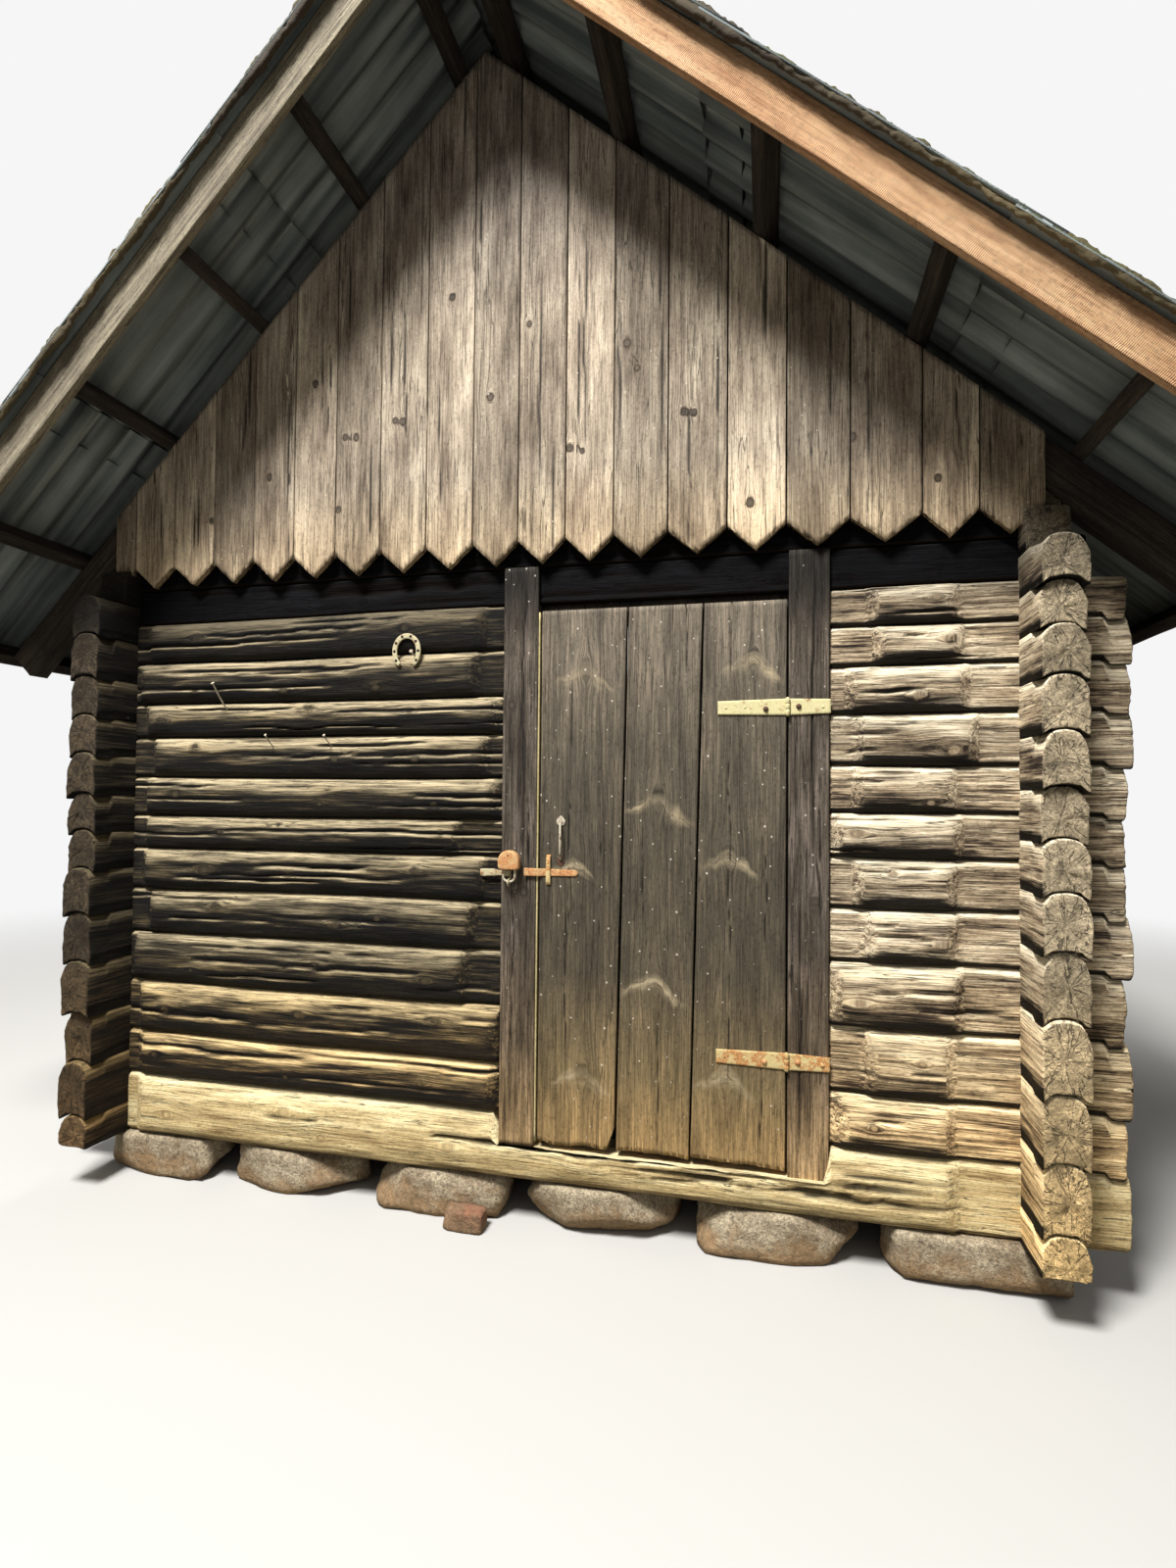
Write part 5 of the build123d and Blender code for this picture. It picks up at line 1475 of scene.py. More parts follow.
    def cap(self, finish: Material) -> None:
        """Build the ridge cap in lapped lengths.

        Its middle line runs down both slopes from where they meet, bent round there: the sum of
        both directions times (root(v squared + bend squared) -/+ v) / 2.
        """
        skin = Skin()
        reach, lengths, bend = self.verge_y, 5, 0.03
        v = np.linspace(-1, 1, 33)
        soft = np.sqrt(v ** 2 * (self.wing + 0.11) ** 2 + bend ** 2) - bend * 0.6
        v = v * (self.wing + 0.105)
        for n in range(lengths):
            y0 = -reach + n * 2 * reach / lengths
            y1 = min(y0 + 2 * reach / lengths + 0.05, reach)
            y = np.array([y0, y0, y0 + 0.01, (y0 + y1) / 2, y1 - 0.01, y1, y1])
            sink = np.where(y > y0 + 0.3, -0.004, 0.0)
            sheets = []
            for w in (0.1153, 0.1098):
                apex = w * MITRE
                rise = (SLOPES[1].square + SLOPES[-1].square) / 2
                peak = SLOPES[1].at(-apex, 0, w)
                line = peak + ((soft + v) / 2)[:, None] * SLOPES[1].down + (
                    ((soft - v) / 2)[:, None] * SLOPES[-1].down)
                sheets.append(line[None] + sink[:, None, None] * rise + stacked(0, y[:, None, None],
                        0)[..., 0, :])
            points = np.concatenate([sheets[0], sheets[1][:, ::-1]], axis=1)
            points[0] = points[0].mean(axis=0)
            points[-1] = points[-1].mean(axis=0)
            skin.add(points)
        skin.make("ridge_capping", finish, "fibre_cement", instead_of=["ridge_cap"])

    def moss(self, finish: Material) -> None:
        """Build the moss along the sheets' front and back edges: a cord of lumps of two sizes."""
        for end, front in (("front", -1), ("back", 1)):
            skin = Skin()
            for way, slope in SLOPES.items():
                u = steps(-0.09, slope.foot - 0.022, 0.006 if front < 0 else 0.016)
                turn = np.linspace(0, 2 * np.pi, 14, endpoint=False)
                spot = stacked(u[:, None], 0.02 * np.cos(turn)[None], 0.02 * np.sin(turn)[None])
                fat = 0.0085 + 0.0055 * lumps(spot, (0.045, 0.03, 0.03), 5 + way) + (
                    0.0032 * lumps(spot, 0.011, 9 + way))
                fat = fat + 0.004 * ease(lumps(stacked(u, 0 * u, 0 * u), 0.17, 77 + way), 0.0,
                        0.6)[:, None]
                y = front * (self.verge_y - 0.0105 + np.clip(fat * np.cos(turn), -0.02, 0.0103))
                w = self.sheet_low + self.wave_d + 0.003 + np.clip(fat * 1.4 * np.sin(turn), -0.02,
                        0.022)
                points = slope.at(u[:, None] + 0 * w, y, w)
                points[0], points[-1] = points[0].mean(axis=0), points[-1].mean(axis=0)
                skin.add(points)
            skin.make("moss_on_verge_" + end, finish, "fibre_cement")


@dataclass
class Fittings:
    """Hinges, pull, hasp, keeper, padlock, its eye strap, horseshoe and loose nails."""

    face: float = -1.915
    leaf_z: float = 0.280
    pin_x: float = 0.875
    strap_h: float = 0.052
    strap_t: float = 0.004
    strap_reach: float = 0.212
    plate_reach: float = 0.127
    knuckle_r: float = 0.007
    pin_r: float = 0.0035
    heights: tuple[float, float] = (0.335, 1.417)
    leaf_right: float = 0.8725
    strays: tuple[tuple[tuple[float, float, float], tuple[float, float, float], float], ...] = (
        ((-1.113, -1.910, 1.716), (-1.120, -1.990, 1.812), 0.0030),
        ((-0.915, -1.910, 1.580), (-0.914, -1.972, 1.625), 0.0022),
        ((-0.683, -1.910, 1.586), (-0.685, -1.968, 1.622), 0.0022),
        ((-0.371, -1.905, 1.904), (-0.371, -1.946, 1.908), 0.0032),
        ((-0.871, -1.934, 2.853), (-0.860, -1.960, 2.912), 0.0028))

    def hinge(self, z: float, name: str, iron: Material, bolt: Material, slot: str) -> None:
        """One strap hinge: tapered strap and plate, three eyes on a pin, bolts and screws.

        Args:
            z: Level of its middle.
            name: Which of the two.
            iron: Finish of strap and plate.
            bolt: Finish of the bolts.
            slot: The record's material slot of strap and plate.
        """
        y = self.face - self.strap_t / 2
        pin_y = self.face - self.knuckle_r - self.strap_t / 4
        x0 = self.pin_x - self.strap_reach
        strap, plate = Skin(), Skin()
        length = self.leaf_right - x0
        Beam((0, y, z), (1, 0, 0), (0, 0, 1), 0.047, self.strap_t, x0, self.leaf_right - 0.0005, 3,
                0.006, (8, 1), 0.001, 0.0005, taper=(0, -0.10, 0, 0.09)).lay(strap)
        third = self.strap_h / 3
        for low, high, skin in ((-1.5, -0.53, strap), (0.53, 1.5, strap), (-0.47, 0.47, plate)):
            zs = z + third * np.array([low, low + 0.04, high - 0.04, high])
            path = stacked(0 * zs + self.pin_x, 0 * zs + pin_y, zs)
            skin.add(tube(path, np.array([0.92, 1, 1, 0.92]) * self.knuckle_r, 14))
        for low, high in ((-1.5, -0.56), (0.56, 1.5)):
            Beam((0, y - self.strap_t * 0.1, z + third * (low + high) / 2), (1, 0, 0), (0, 0, 1),
                    third * (high - low), self.strap_t * 0.7, self.leaf_right - 0.002, self.pin_x
                    - 0.003, 4, 0.004, (2, 1), 0.0005, 0.0002).lay(strap)
        side = self.pin_x + self.knuckle_r + 0.0005
        Beam((0, y, z), (1, 0, 0), (0, 0, 1), 0.048, self.strap_t, side,
             self.pin_x + self.plate_reach, 5, 0.006, (8, 1), 0.001, 0.0005,
             taper=(0, 0.06, 0, -0.08)).lay(plate)
        Beam((0, y - self.strap_t * 0.1, z), (1, 0, 0), (0, 0, 1), third * 0.92, self.strap_t * 0.7,
             self.pin_x + 0.003, side + 0.002, 6, 0.004, (2, 1), 0.0005, 0.0002).lay(plate)
        half = self.strap_h / 2 + self.knuckle_r / 2
        zs = z + np.linspace(-half, half - 0.001, 8)
        plate.add(tube(stacked(0 * zs + self.pin_x, 0 * zs + pin_y, zs), self.pin_r, 10))
        plate.add(dome((self.pin_x, pin_y, z + half - 0.004), (0, 0, 1), self.pin_r * 1.3, 0.003))
        low = name == "lower"
        for share, radius, high in ((0.12, 0.0045, 0.0018), (0.40, 0.0042, 0.0016)):
            strap.add(dome((x0 + length * share, self.face - self.strap_t, z), (0, -1, 0), radius,
                    high))
        plate.add(dome((self.pin_x + self.plate_reach * 0.82, self.face - self.strap_t, z - 0.002),
                (0, -1, 0), 0.007 if low else 0.005, 0.006 if low else 0.002))
        strap.make("hinge_strap_iron_" + name, iron, slot, "door", ["hinge_strap_" + name])
        plate.make("hinge_plate_iron_" + name, iron, slot, "building", ["hinge_plate_" + name])
        heads = Skin()
        heads.add(dome((x0 + length * 0.70, self.face - self.strap_t, z - 0.006), (0, -1, 0),
                0.0085, 0.009, 12))
        heads.make("hinge_bolt_leaf_" + name, bolt, "rusty_iron", "door")
        heads = Skin()
        heads.add(dome((self.pin_x + 0.033, self.face - self.strap_t, z), (0, -1, 0), 0.0085, 0.008,
                12))
        heads.make("hinge_bolt_post_" + name, bolt, "rusty_iron")

    def pull(self, iron: Material, dark: Material) -> Skin:
        """Slender pull: a bar of changing radius bowed out between two leaf-shaped plates.

        Args:
            iron: Finish of the bar and the upper plate.
            dark: Finish of the lower plate.

        Returns:
            The holes in the plates, dark discs of painted shade, not yet made.
        """
        x, low, high, out, plate_t = 0.1565, 1.205, 1.335, 0.026, 0.0025
        skin = Skin()
        t = np.linspace(0, 1, 31)
        y = self.face - plate_t - (out - plate_t - 0.002) * np.sin(np.pi * t) ** 0.55
        z = low + 0.004 + (high - low - 0.008) * t
        bar = stacked(x + 0.004 * np.sin(np.pi * t), y, z)
        skin.add(tube(bar, 0.0030 + 0.0012 * np.sin(np.pi * t), 10))
        a = np.linspace(0, 2 * np.pi, 28, endpoint=False)
        heart = Skin()
        for z_plate, turn, part in ((high, 1, skin), (low, -1, heart)):
            across = 0.0128 * np.sin(a) * (1 - 0.18 * np.cos(2 * a))
            rise = turn * 0.0185 * (np.cos(a) * (1 + 0.12 * np.cos(3 * a))) / 1.12
            part.add(pillow(stacked(across, rise), (x, self.face - plate_t / 2, z_plate), (1, 0, 0),
                    (0, 0, 1), plate_t, 0.0009))
        skin.make("door_pull_iron", iron, "grey_iron", "door", ["door_pull"])
        heart.make("door_pull_foot", dark, "grey_iron", "door")
        holes = Skin()
        for z_plate, turn in ((high, 1), (low, -1)):
            for dx, dz in ((-0.005, -0.004), (0.005, -0.004), (0.0, 0.008)):
                holes.add(dome((x + dx, self.face - plate_t + 0.0003, z_plate + turn * dz),
                        (0, -1, 0), 0.0019, 0.0005, 8))
        return holes

    def locks(self, rusty: Material, ochre: Material, pale: Material, bright: Material,
            dark: Material) -> None:
        """Hasp strap, its keeper, the padlock and the strap with its eye.

        Args:
            rusty: Finish of the hasp, the padlock's case and the nails.
            ochre: Finish of the keeper.
            pale: Finish of the eye strap.
            bright: Finish of the shackle.
            dark: Finish of the rivet.
        """
        z = self.leaf_z + 0.886
        skin = Skin()
        crank, right, left, over = 0.0905, 0.2165, 0.0335, self.face - 0.0075
        t = np.linspace(0, 1, 24)
        xs = left + (right - left) * t
        ys = over + (self.face - 0.0015 - over) * ease(xs, crank - 0.003, crank + 0.006)
        wide = 0.026 * np.where(xs > right - 0.013,
                np.sqrt(np.clip(1 - ((xs - right + 0.013) / 0.0135) ** 2, 0.02, 1)), 1.0)
        wide = wide * (1 - 0.2 * ease(xs, left, right))
        path = stacked(xs, ys, z + 0 * xs)
        skin.add(ribbon(path, np.tile((0.0, 0.0, 1.0), (len(t), 1)), (0, 1, 0), wide, 0.003, 14))
        skin.make("hasp_iron", rusty, "rusty_iron", "door", ["hasp"])
        skin = Skin()
        x, half = 0.1165, 0.055
        t = np.linspace(-1, 1, 31)
        ys = self.face - 0.0075 * np.clip((1 - np.abs(t) ** 6) * 1.02, 0, 1)
        path = stacked(x + 0 * t, ys, z + 0.009 + (half - 0.006) * t)
        skin.add(ribbon(path, np.tile((1.0, 0.0, 0.0), (len(t), 1)), (0, 1, 0),
                0.0150 * (1 - 0.08 * t), 0.0052, 12))
        skin.make("keeper_iron", ochre, "rusty_iron", "door", ["keeper"])
        lock_x, lock_y, low = -0.0125, self.face - 0.024, self.leaf_z + 0.893
        skin = Skin()
        a = np.linspace(0, 2 * np.pi, 44, endpoint=False)
        c, s = np.cos(a), np.sin(a)
        outline = stacked(0.0368 * np.sign(c) * np.abs(c) ** np.where(s > 0, 0.9, 0.3),
                np.where(s > 0, 0.038 * np.abs(s), -0.026 * np.abs(s) ** 0.4))
        skin.add(pillow(outline, (lock_x, lock_y, low + 0.026), (1, 0, 0), (0, 0, 1), 0.0298,
                0.007))
        skin.make("padlock_body", rusty, "rusty_iron", "building", ["padlock_case"])
        skin = Skin()
        skin.add(dome((lock_x, lock_y - 0.0146, low + 0.048), (0, -1, 0), 0.0032, 0.0014, 9))
        skin.make("padlock_rivet", dark, "rusty_iron")
        skin = Skin()
        t = np.linspace(0, np.pi, 25)
        straight = np.linspace(0.0, 1.0, 5)[:-1]
        leg = 0.024
        xs = np.concatenate([0 * straight - 0.02, -0.02 * np.cos(t), 0 * straight + 0.02])
        zs = np.concatenate([leg * (1 - straight), -0.0175 * np.sin(t), leg * straight + 0.004])
        zs = low - 0.022 + zs
        skin.add(tube(stacked(lock_x + xs, lock_y + 0 * xs, zs), 0.0040, 10))
        skin.make("padlock_bow", bright, "grey_iron", "building", ["padlock_shackle"])
        skin = Skin()
        z_eye = self.leaf_z + 0.880
        xs = np.linspace(-0.135, lock_x, 22)
        wide = 0.0245 + 0.0012 * np.sin(xs * 160) - 0.007 * ease(xs, -0.075, -0.06)
        wide = wide * np.where(xs < -0.128, 0.8, 1.0)
        path = stacked(xs, self.face - 0.0018 + 0 * xs, z_eye + 0.001 * np.sin(xs * 60))
        skin.add(ribbon(path, np.tile((0.0, 0.0, 1.0), (22, 1)), (0, 1, 0), wide, 0.003, 12))
        t = np.linspace(0, 2 * np.pi, 40)
        ring_z = low - 0.042 + 0.0003
        path = stacked(0 * t + lock_x - 0.0015, lock_y + 0.009604 * np.cos(t),
                       ring_z + 0.0098 * np.sin(t))
        skin.add(tube(path[:-1], 0.0028, 8))
        t = np.linspace(0, 1, 8)
        path = stacked(0 * t + lock_x - 0.0015, self.face - 0.002 + (-0.0125) * t,
                z_eye + (ring_z + 0.006 - z_eye) * t)
        skin.add(tube(path, 0.0035, 8))
        skin.make("eye_strap_iron", pale, "grey_iron", "building", ["eye_strap"])
        heads = Skin()
        for x in (-0.118, -0.082, -0.045):
            heads.add(dome((x, self.face - 0.0032, z_eye), (0, -1, 0), 0.0042, 0.002, 9))
        heads.make("eye_strap_nails", rusty, "rusty_iron")

    def stray_nails(self, iron: Material) -> None:
        """Long nails left in the logs and a bent one in the gable: rods of 2 to 3 mm with heads."""
        skin = Skin()
        for tip, head, radius in self.strays:
            tip, head = np.array(tip), np.array(head)
            t = np.linspace(0, 1, 9)[:, None]
            sag = np.array([0.0, 0.0, -0.006]) * np.sin(np.pi * t)
            skin.add(tube(tip + (head - tip) * t + sag, radius, 8))
            skin.add(dome(head, head - tip, radius * 2.3, 0.002, 9))
        skin.make("stray_nails", iron, "grey_iron")

    def shoe(self, iron: Material, holes: Skin) -> None:
        """Horseshoe: a flat bar carried round an open ellipse, narrower at its heels.

        Args:
            iron: Its finish.
            holes: What its nail holes, dark discs of painted shade, are added to.
        """
        x, z, y = -0.392, self.leaf_z + 1.631, -1.9331 - 0.004
        skin = Skin()
        t = np.linspace(radians(-66), radians(246), 49)
        rx, rz, wide = 0.0440, 0.0515, 0.0180
        power = np.where(np.sin(t) < 0, 0.62, 0.95)
        path = stacked(x + rx * np.sign(np.cos(t)) * np.abs(np.cos(t)) ** power, y + 0 * t,
                       z + rz * np.sin(t))
        side = np.gradient(path, axis=0)[:, [2, 1, 0]] * (1, 0, -1)
        side /= np.linalg.norm(side, axis=1)[:, None]
        width = wide * (0.78 + 0.22 * np.sin(np.linspace(0, np.pi, 49)) ** 0.5)
        skin.add(ribbon(path, side, (0, 1, 0), width, 0.0075, 14))
        skin.make("horseshoe_iron", iron, "grey_iron", "building", ["horseshoe"])
        for n in (4, 10, 16, 21, 27, 33, 38, 44):
            holes.add(dome(path[n] + (0, -0.0040, 0), (0, -1, 0), 0.0052, 0.0008, 8))


@dataclass
class Footing:
    """Field stones under the walls and the joists: boxes with rounded corners, worn lumpy."""

    half: tuple[float, float] = (1.6425, 1.900)
    out: float = 0.025
    deep: float = 0.260
    gap: float = 0.060
    high: float = 0.150
    front: int = 6
    side_l: float = 0.460
    pad: float = 0.240
    joists: int = 4

    def stone(self, skin: Skin, x: tuple[float, float], y: tuple[float, float], seed: int,
            high: float = 0.0, facets: int = 11, hard: float = 34.0) -> None:
        """Add one stone: the room inside its six sides and some random breaks.

        The reach in a direction is (sum of (direction . side / distance) ** hard) ** (-1 / hard)
        over the sides that face that way, less a rough skin.

        Args:
            skin: What it is added to.
            x: Its lower and upper end across the house.
            y: The same from front to back.
            seed: Picks its breaks.
            high: Its height, that of the footing if 0.
            facets: How many breaks.
            hard: How sharp its edges are.
        """
        draw = np.random.default_rng(seed)
        tilt = np.linspace(-np.pi / 2, np.pi / 2, 25)[:, None]
        turn = np.linspace(0, 2 * np.pi, 46, endpoint=False)[None]
        high = high or self.high
        half = np.array([(x[1] - x[0]) / 2, (y[1] - y[0]) / 2, high / 2])
        way = stacked(np.cos(tilt) * np.cos(turn), np.cos(tilt) * np.sin(turn), np.sin(tilt)) * half
        way /= np.linalg.norm(way, axis=-1)[..., None]
        sides = [np.eye(3)[n] * sign for n in range(3) for sign in (-1, 1)]
        room = [half[n] for n in range(3) for _ in range(2)]
        for _ in range(facets):
            out = draw.normal(size=3) * (1, 1, 0.8)
            out /= np.linalg.norm(out)
            sides.append(out)
            room.append(np.linalg.norm(out * half) * draw.uniform(0.93, 1.18))
        press = np.clip(np.einsum("ijk,nk->ijn", way, np.array(sides)) / np.array(room), 0, None)
        reach = (press ** hard).sum(axis=-1) ** (-1 / hard)
        skin_in = 0.5 + 0.5 * lumps(way * reach[..., None], 0.05, seed)
        skin_in = skin_in + 0.4 * lumps(way * reach[..., None], 0.016, seed + 1)
        points = way * (reach * (1 - 0.05 * skin_in))[..., None]
        points[..., 2] += high / 2 - points[..., 2].max() + high / 2
        points[..., :2] += ((x[0] + x[1]) / 2, (y[0] + y[1]) / 2)
        points[..., 2] = np.clip(points[..., 2], 0.0, None)
        points[0], points[-1] = points[0].mean(axis=0), points[-1].mean(axis=0)
        skin.add(points)

    def build(self, granite: Material, brick: Material) -> None:
        """Build all footing stones.

        Args:
            granite: Finish of the stones.
            brick: Finish of the brick beside the sill.
        """
        reach = self.half[0] + self.out
        width = (2 * reach - (self.front - 1) * self.gap) / self.front
        for name, way in (("front", -1), ("back", 1)):
            skin = Skin()
            y0 = self.half[1] + self.out
            ys = sorted((way * y0, way * (y0 - self.deep)))
            for n in range(self.front):
                x0 = -reach + n * (width + self.gap)
                self.stone(skin, (x0, x0 + width), tuple(ys), 60 + n + 9 * way)
            skin.make("footing_stones_" + name, granite, "field_stone",
                      instead_of=["footing_" + name])
        first = self.half[1] + self.out - self.deep - self.gap - self.side_l / 2
        places = [-first + n * 2 * first / (self.joists - 1) for n in range(self.joists)]
        for name, way in (("right", 1), ("left", -1)):
            skin = Skin()
            xs = sorted((way * reach, way * (reach - self.deep)))
            for n, y in enumerate(places):
                self.stone(skin, tuple(xs), (y - self.side_l / 2, y + self.side_l / 2),
                           80 + n + 5 * way)
            skin.make("footing_stones_" + name, granite, "field_stone",
                      instead_of=["footing_" + name])
        skin = Skin()
        for n, y in enumerate(places):
            self.stone(skin, (-self.pad / 2, self.pad / 2), (y - self.pad / 2, y + self.pad / 2),
                    95 + n)
        skin.make("joist_pad_stones", granite, "field_stone", instead_of=["joist_pads"])
        skin = Skin()
        self.stone(skin, (-0.215, -0.075), (-1.995, -1.930), 7, 0.066, facets=3, hard=26.0)
        skin.make("worn_brick_by_the_sill", brick, "field_stone")


@dataclass
class Floor:
    """Boards on joists."""

    half: tuple[float, float] = (1.5165, 1.774)
    top: float = 0.255
    thick: float = 0.032
    boards: int = 14
    joist_w: float = 0.110
    foot: float = 0.150
    places: tuple[float, ...] = (-1.375, -0.4583, 0.4583, 1.375)

    def build(self, finish: Material) -> None:
        """Build boards and joists."""
        skin = Skin()
        x0, y0 = self.half
        width = 2 * x0 / self.boards
        for n in range(self.boards):
            Beam((-x0 + (n + 0.5) * width, 0, self.top - self.thick / 2), (0, 1, 0), (-1, 0, 0),
                 width - 0.003, self.thick, -y0, y0, 70 + n, 0.10, (6, 1), 0.002, 0.001,
                 marks=scattered(70 + n, (-y0, y0), (-0.08, 0.08), 6, 2, 0.011, 0.003)).lay(skin)
        skin.make("floor_boards", finish, "floor_wood", instead_of=["floor"])
        skin = Skin()
        for n, y in enumerate(self.places):
            top = self.top - self.thick
            Beam((0, y, (self.foot + top) / 2), (1, 0, 0), (0, 1, 0), self.joist_w, top - self.foot,
                    -x0, x0, 90 + n, 0.12, (4, 3), 0.004, 0.002).lay(skin)
        skin.make("joist_timbers", finish, "floor_wood", instead_of=["floor_joists"])


@dataclass
class Camera:
    """The photographer's place, solved from the photograph in the frame's metres."""

    place: tuple[float, float, float] = (0.8185, -4.344, 1.404)
    yaw: float = -13.25
    pitch: float = 1.22
    roll: float = 0.51
    focal_px: float = 782.0
    long_side_px: float = 1600.0
    sensor_mm: float = 36.0

    def make(self) -> None:
        """Put the camera in the scene and make it the active one."""
        yaw, pitch, roll = (radians(a) for a in (self.yaw, self.pitch, self.roll))
        ahead = Vector((sin(yaw) * cos(pitch), cos(yaw) * cos(pitch), sin(pitch)))
        level = Vector((cos(yaw), -sin(yaw), 0.0))
        upright = level.cross(ahead)
        right = cos(roll) * level + sin(roll) * upright
        up = cos(roll) * upright - sin(roll) * level
        data = bpy.data.cameras.new("photographer")
        data.sensor_width = self.sensor_mm
        data.lens = self.focal_px / self.long_side_px * self.sensor_mm
        data.clip_end = 200.0
        camera = bpy.data.objects.new("photographer", data)
        turn = Matrix((right, up, -ahead)).transposed().to_4x4()
        camera.matrix_world = Matrix.Translation(self.place) @ turn
        bpy.context.scene.collection.objects.link(camera)
        bpy.context.scene.camera = camera


@dataclass
class Studio:
    """Pale floor, a high soft key lamp before the house, a low fill behind it and a dim sky."""

    key_at: tuple[float, float, float] = (-1.1, -6.1, 8.3)
    key_aim: tuple[float, float, float] = (0.1, -1.9, 1.2)
    key_size: float = 2.4
    key_power: float = 1540.0
    fill_at: tuple[float, float, float] = (-3.0, 8.0, 6.0)
    fill_size: float = 5.0
    fill_power: float = 700.0
    sky: float = 0.28
    white: float = 0.92
    floor: str = "bdbbb6"
    bounce: str = "8d8a80"
    fade: tuple[float, float] = (3.4, 9.0)

    def lamp(self, name: str, place: Sequence[float], aim: Sequence[float], size: float,
            power: float) -> None:
        """Hang one round soft lamp.

        Args:
            name: Its name.
            place: Where it hangs.
            aim: Where it shines.
            size: Its diameter.
            power: Its watts.
        """
        data = bpy.data.lights.new(name, "AREA")
        data.shape = "DISK"
        data.size = size
        data.energy = power
        lamp = bpy.data.objects.new(name, data)
        turn = (Vector(aim) - Vector(place)).to_track_quat("-Z", "Y").to_matrix().to_4x4()
        lamp.matrix_world = Matrix.Translation(place) @ turn
        bpy.context.scene.collection.objects.link(lamp)

    def make(self) -> None:
        """Make the floor, the lamps and the world."""
        self.lamp("soft_key", self.key_at, self.key_aim, self.key_size, self.key_power)
        self.lamp("soft_fill", self.fill_at, (0.0, 0.0, 1.5), self.fill_size, self.fill_power)
        world = bpy.data.worlds.new("studio")
        bpy.context.scene.world = world
        world.use_nodes = True
        tree = world.node_tree
        ground = tree.nodes["Background"]
        ground.inputs[0].default_value = linear("ffffff")
        path = tree.nodes.new("ShaderNodeLightPath")
        mix = tree.nodes.new("ShaderNodeMapRange")
        mix.inputs[3].default_value = self.sky
        mix.inputs[4].default_value = self.white
        tree.links.new(path.outputs["Is Camera Ray"], mix.inputs[0])
        tree.links.new(mix.outputs[0], ground.inputs[1])
        mesh = bpy.data.meshes.new("studio_floor")
        reach = 60.0
        mesh.from_pydata([(-reach, -reach, 0), (reach, -reach, 0), (reach, reach, 0),
                (-reach, reach, 0)], [], [(0, 1, 2, 3)])
        floor = bpy.data.objects.new("studio_floor", mesh)
        bpy.context.scene.collection.objects.link(floor)
        # seen by the camera the floor is pale and fades into the backdrop with the distance
        g = Graph("pale_studio_floor")
        seen = g.add("LightPath", out="Is Camera Ray")
        tone = g.add("Mix:RGBA", {0: seen, 6: linear(self.bounce), 7: linear(self.floor)}, 2)
        shader = g.add("BsdfPrincipled", {"Base Color": tone, "Roughness": 0.9})
        far = g.add("VectorMath:LENGTH", (g.add("TexCoord", out="Object"),), "Value")
        far = g.add("MapRange", (far, self.fade[0], self.fade[1]), interpolation_type="SMOOTHSTEP")
        far = g.add("Math:MULTIPLY", (far, seen))
        glow = g.add("Emission", {"Color": linear("ffffff"), "Strength": self.white})
        g.add("OutputMaterial", {"Surface": g.add("MixShader", (far, shader, glow))})
        mesh.materials.append(g.material)


# The hewn logs come as lit and shaded copies of one weathered log: SUNNY_LOG is the lit copy, with
# painted sunlight low down and painted shadow at the top under the gable
SUNNY_LOG = Pine("hewn_weathered_log", pale="ecd9b8", mid="b59f80", dark="3f3228", end="bba98a",
        sunlit="fbeccb", sun=0.9, shade=0.98, contrast=1.5, relief_mm=3.8, shaded="120d09",
        turn=(0.04, -0.34), tone_and_light_by_height=((0.22, 1.7, 1.45, 1.0), (0.55, 1.25, 1.15, 0.95), (1.0, 1.0,
        1.0, 1.0), (1.93, 1.0, 1.0, 1.0), (2.03, 0.6, 0.6, 0.6), (2.1, 0.3, 0.3, 0.3)))
# The sill is pale weathered wood painted brighter still with painted sunlight
SILL_LOG = Pine("hewn_bleached_sill", pale="fdebb6", mid="eace94", dark="917449", end="bba98c",
        sunlit="feefbf", sun=0.6, shade=0.75, contrast=1.0, relief_mm=3.0, shaded="3a2a18",
        turn=(-0.25, -0.75))
# SHADY_LOG left of the doorway and DIM_LOG on the left side are copies darkened in painted shade
SHADY_LOG = Pine("hewn_shaded_log", pale="8b7856", mid="4c4230", dark="1a150f", end="4c4030",
        sunlit="c8b692", shaded="080605", sun=0.85, shade=0.93, contrast=1.4, relief_mm=3.8,
        turn=(0.28, -0.08), tone_and_light_by_height=((0.20, 2.4, 2.0, 1.5), (0.6, 1.6, 1.45, 1.15), (0.85, 0.9, 0.9,
        0.88), (1.85, 1.0, 1.0, 1.0), (1.98, 0.6, 0.6, 0.6), (2.05, 0.25, 0.25, 0.25)))
DIM_LOG = replace(SHADY_LOG, name="hewn_dim_log", pale="5d503d", sunlit="6d6148", mid="382f1e")
# The two logs over the door are painted near black: painted shadow under the gable boards
LINTEL_LOG = Pine("hewn_smoky_log", pale="161517", mid="0e0e10", dark="050506", end="3b342c",
        sunlit="1c1b1a", sun=0.3, shade=0.9, gloss=0.05)
# The gable boards darken towards the top in painted shadow under the eaves and are lighter low down
GABLE_BOARD = Pine("sawn_weathered_board", pale="cdbea6", mid="9c8d7a", dark="4a3d31",
        sunlit="d9cbae", end="8d7c65", ring_mm=5.0, relief_mm=1.2, heart=0.4, contrast=1.0,
        shares=(0.3, 0.6, 1.0), lots=(0.6, 1.25), knots=2.4, dots=0.4, tone_and_light_by_height=((2.2, 1.3, 1.2,
        1.02), (2.5, 1.0, 1.0, 1.0), (3.0, 1.0, 1.0, 1.0), (3.5, 0.85, 0.87, 0.95)))
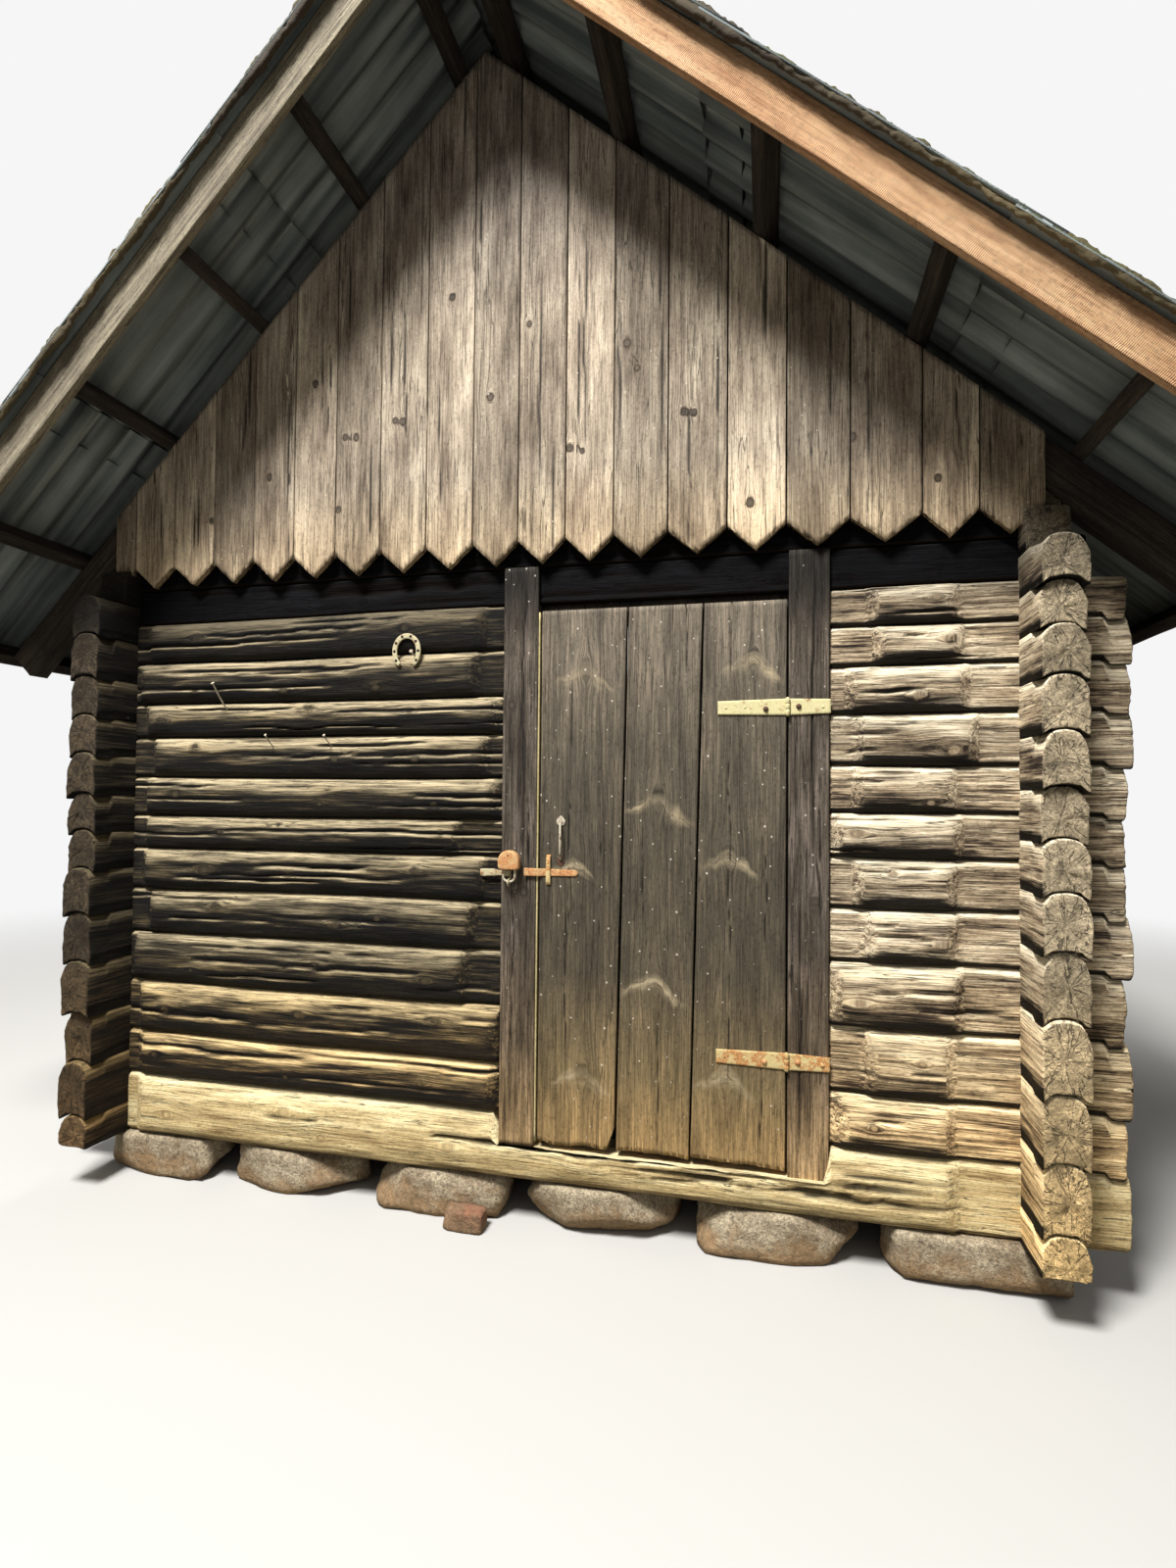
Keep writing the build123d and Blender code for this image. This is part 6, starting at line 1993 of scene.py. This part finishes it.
# The door's planks are lighter towards the foot, and a bluish painted highlight lies on their top
DOOR_PLANK = Pine("planed_weathered_plank", pale="766956", mid="50493c", dark="29231b",
        sunlit="b5a484", end="6b5b48", ring_mm=5.0, checks=0.8, wisps=0.85, knots=0.3, dots=0.7,
        relief_mm=1.0, shares=(0.4, 0.6, 0.7), lots=(0.94, 1.06), tone_and_light_by_height=((0.30, 4.6, 3.6, 2.2),
        (0.52, 2.4, 2.1, 1.5), (0.85, 1.05, 1.02, 0.98), (1.2, 0.95, 0.95, 0.95), (1.6, 1.35, 1.35,
        1.4), (1.9, 1.9, 1.9, 2.05)))
# The posts are lighter towards the foot and near black at the top in painted shadow under the gable
POST_BOARD = Pine("hewn_dark_post", pale="82756a", mid="544b40", dark="241e19", sunlit="9a8c72",
        end="6b5b48", dots=0.5, relief_mm=2.0, tone_and_light_by_height=((0.25, 4.0, 3.3, 2.1), (0.6, 1.5, 1.35,
        1.1), (1.0, 0.9, 0.9, 0.9), (1.9, 1.15, 1.15, 1.15), (2.0, 0.5, 0.5, 0.5), (2.1, 0.2, 0.2,
        0.2)))
ROOF_TIMBER = Pine("sawn_roof_timber", pale="4c4238", mid="342c26", dark="1a1613", end="5b4e3f",
        relief_mm=1.6)
NEW_BARGE = Pine("fresh_sawn_pine", pale="e0ba94", mid="c89d75", dark="8f603f", knots=2.0,
        heart=0.75, end="c39a6c", sunlit="dcb88c", checks=0.15, contrast=0.9, relief_mm=1.0,
        saw=1.0)
OLD_BARGE = Pine("sawn_grey_board", pale="9c927c", mid="786f5d", dark="4a4238", dots=0.3,
        end="8d7f6b", relief_mm=1.2, contrast=0.8, saw=0.2)
FLOOR_WOOD = Pine("trodden_floor_board", pale="8a7760", mid="6b5a47", dark="3f342a", end="7b6a55",
        relief_mm=1.0)
PALE_LATH = Pine("planed_pale_lath", pale="dcd0a4", mid="c9b985", dark="9a8a5c", end="c9b985",
        checks=0.0, contrast=0.6, relief_mm=0.5)
RUSTY = Iron("rusted_forged_iron", coat="c39c6a", rust="dea064", stain="80523a", amount=0.6,
        rough=0.85)
LOWER_HINGE = Iron("rusted_painted_iron", coat="cdb880", rust="d39a5c", stain="8c5c38", amount=0.5,
        rough=0.8)
CREAM = Iron("cream_painted_iron", coat="cfc492", rust="a8794d", stain="5d4430", amount=0.1,
        rough=0.6)
GREY = Iron("weathered_grey_iron", coat="b9ae98", rust="7d6450", stain="4d4038", amount=0.35,
        rough=0.6)
DARK = Iron("dark_rusted_bolt", coat="4a3a2e", rust="6b442c", stain="241a14", amount=0.6, rough=0.8)
PALE_IRON = Iron("pale_worn_iron", coat="b9ae8a", rust="a9835c", stain="6d503a", amount=0.3,
        rough=0.65)
# Near-black discs of painted shade stand for the holes in the pull plates and the horseshoe
HOLE_SHADE = Iron("hole_in_the_dark", coat="120d0a", rust="1a120d", stain="0c0807", amount=0.5,
        rough=0.95)
GRANITE = FieldStone("earthy_field_stone", pale="b8a88c", dark="7d6c55", earth="9a7c58")
BRICK = FieldStone("worn_brick", pale="a06a50", dark="70483a", earth="8a6f52", grain_mm=3.0)


def main() -> None:
    """Build every sub-assembly in order and report it."""
    logging.basicConfig(level=logging.INFO, format="%(name)s: %(message)s")
    Camera().make()
    Studio().make()
    bpy.context.scene.view_settings.view_transform = "Standard"
    grey, dark, rusty = GREY.material(), DARK.material(), RUSTY.material()
    LogWalls().build(SUNNY_LOG.material(), SHADY_LOG.material(), LINTEL_LOG.material(),
            SILL_LOG.material(), DIM_LOG.material())
    Gables().build(GABLE_BOARD.material(), grey)
    DoorFrame().build(POST_BOARD.material(), PALE_LATH.material())
    Door().build(DOOR_PLANK.material())
    roof = Roof()
    roof.timber(ROOF_TIMBER.material())
    roof.barges(NEW_BARGE.material(), OLD_BARGE.material())
    roof.sheets(FibreCement().material())
    roof.cap(FibreCement(name="weathered_ridge_capping").material())
    roof.moss(FibreCement(name="dry_dark_moss", pale="5e5236", dark="33291b", moss="45431f",
            lichen="55573a", moss_part=1.0).material())
    fittings = Fittings()
    ochre = LOWER_HINGE.material()
    fittings.hinge(fittings.leaf_z + fittings.heights[0], "lower", ochre, rusty, "rusty_iron")
    fittings.hinge(fittings.leaf_z + fittings.heights[1], "upper", CREAM.material(), dark,
            "cream_iron")
    hole_shade = HOLE_SHADE.material()
    fittings.pull(grey, dark).make("door_pull_holes", hole_shade, "grey_iron", "door")
    fittings.locks(rusty, ochre, PALE_IRON.material(), grey, dark)
    fittings.stray_nails(grey)
    holes = Skin()
    fittings.shoe(PALE_IRON.material(), holes)
    holes.make("horseshoe_holes", hole_shade, "grey_iron")
    Footing().build(GRANITE.material(), BRICK.material())
    Floor().build(FLOOR_WOOD.material())


if __name__ == "__main__":
    main()
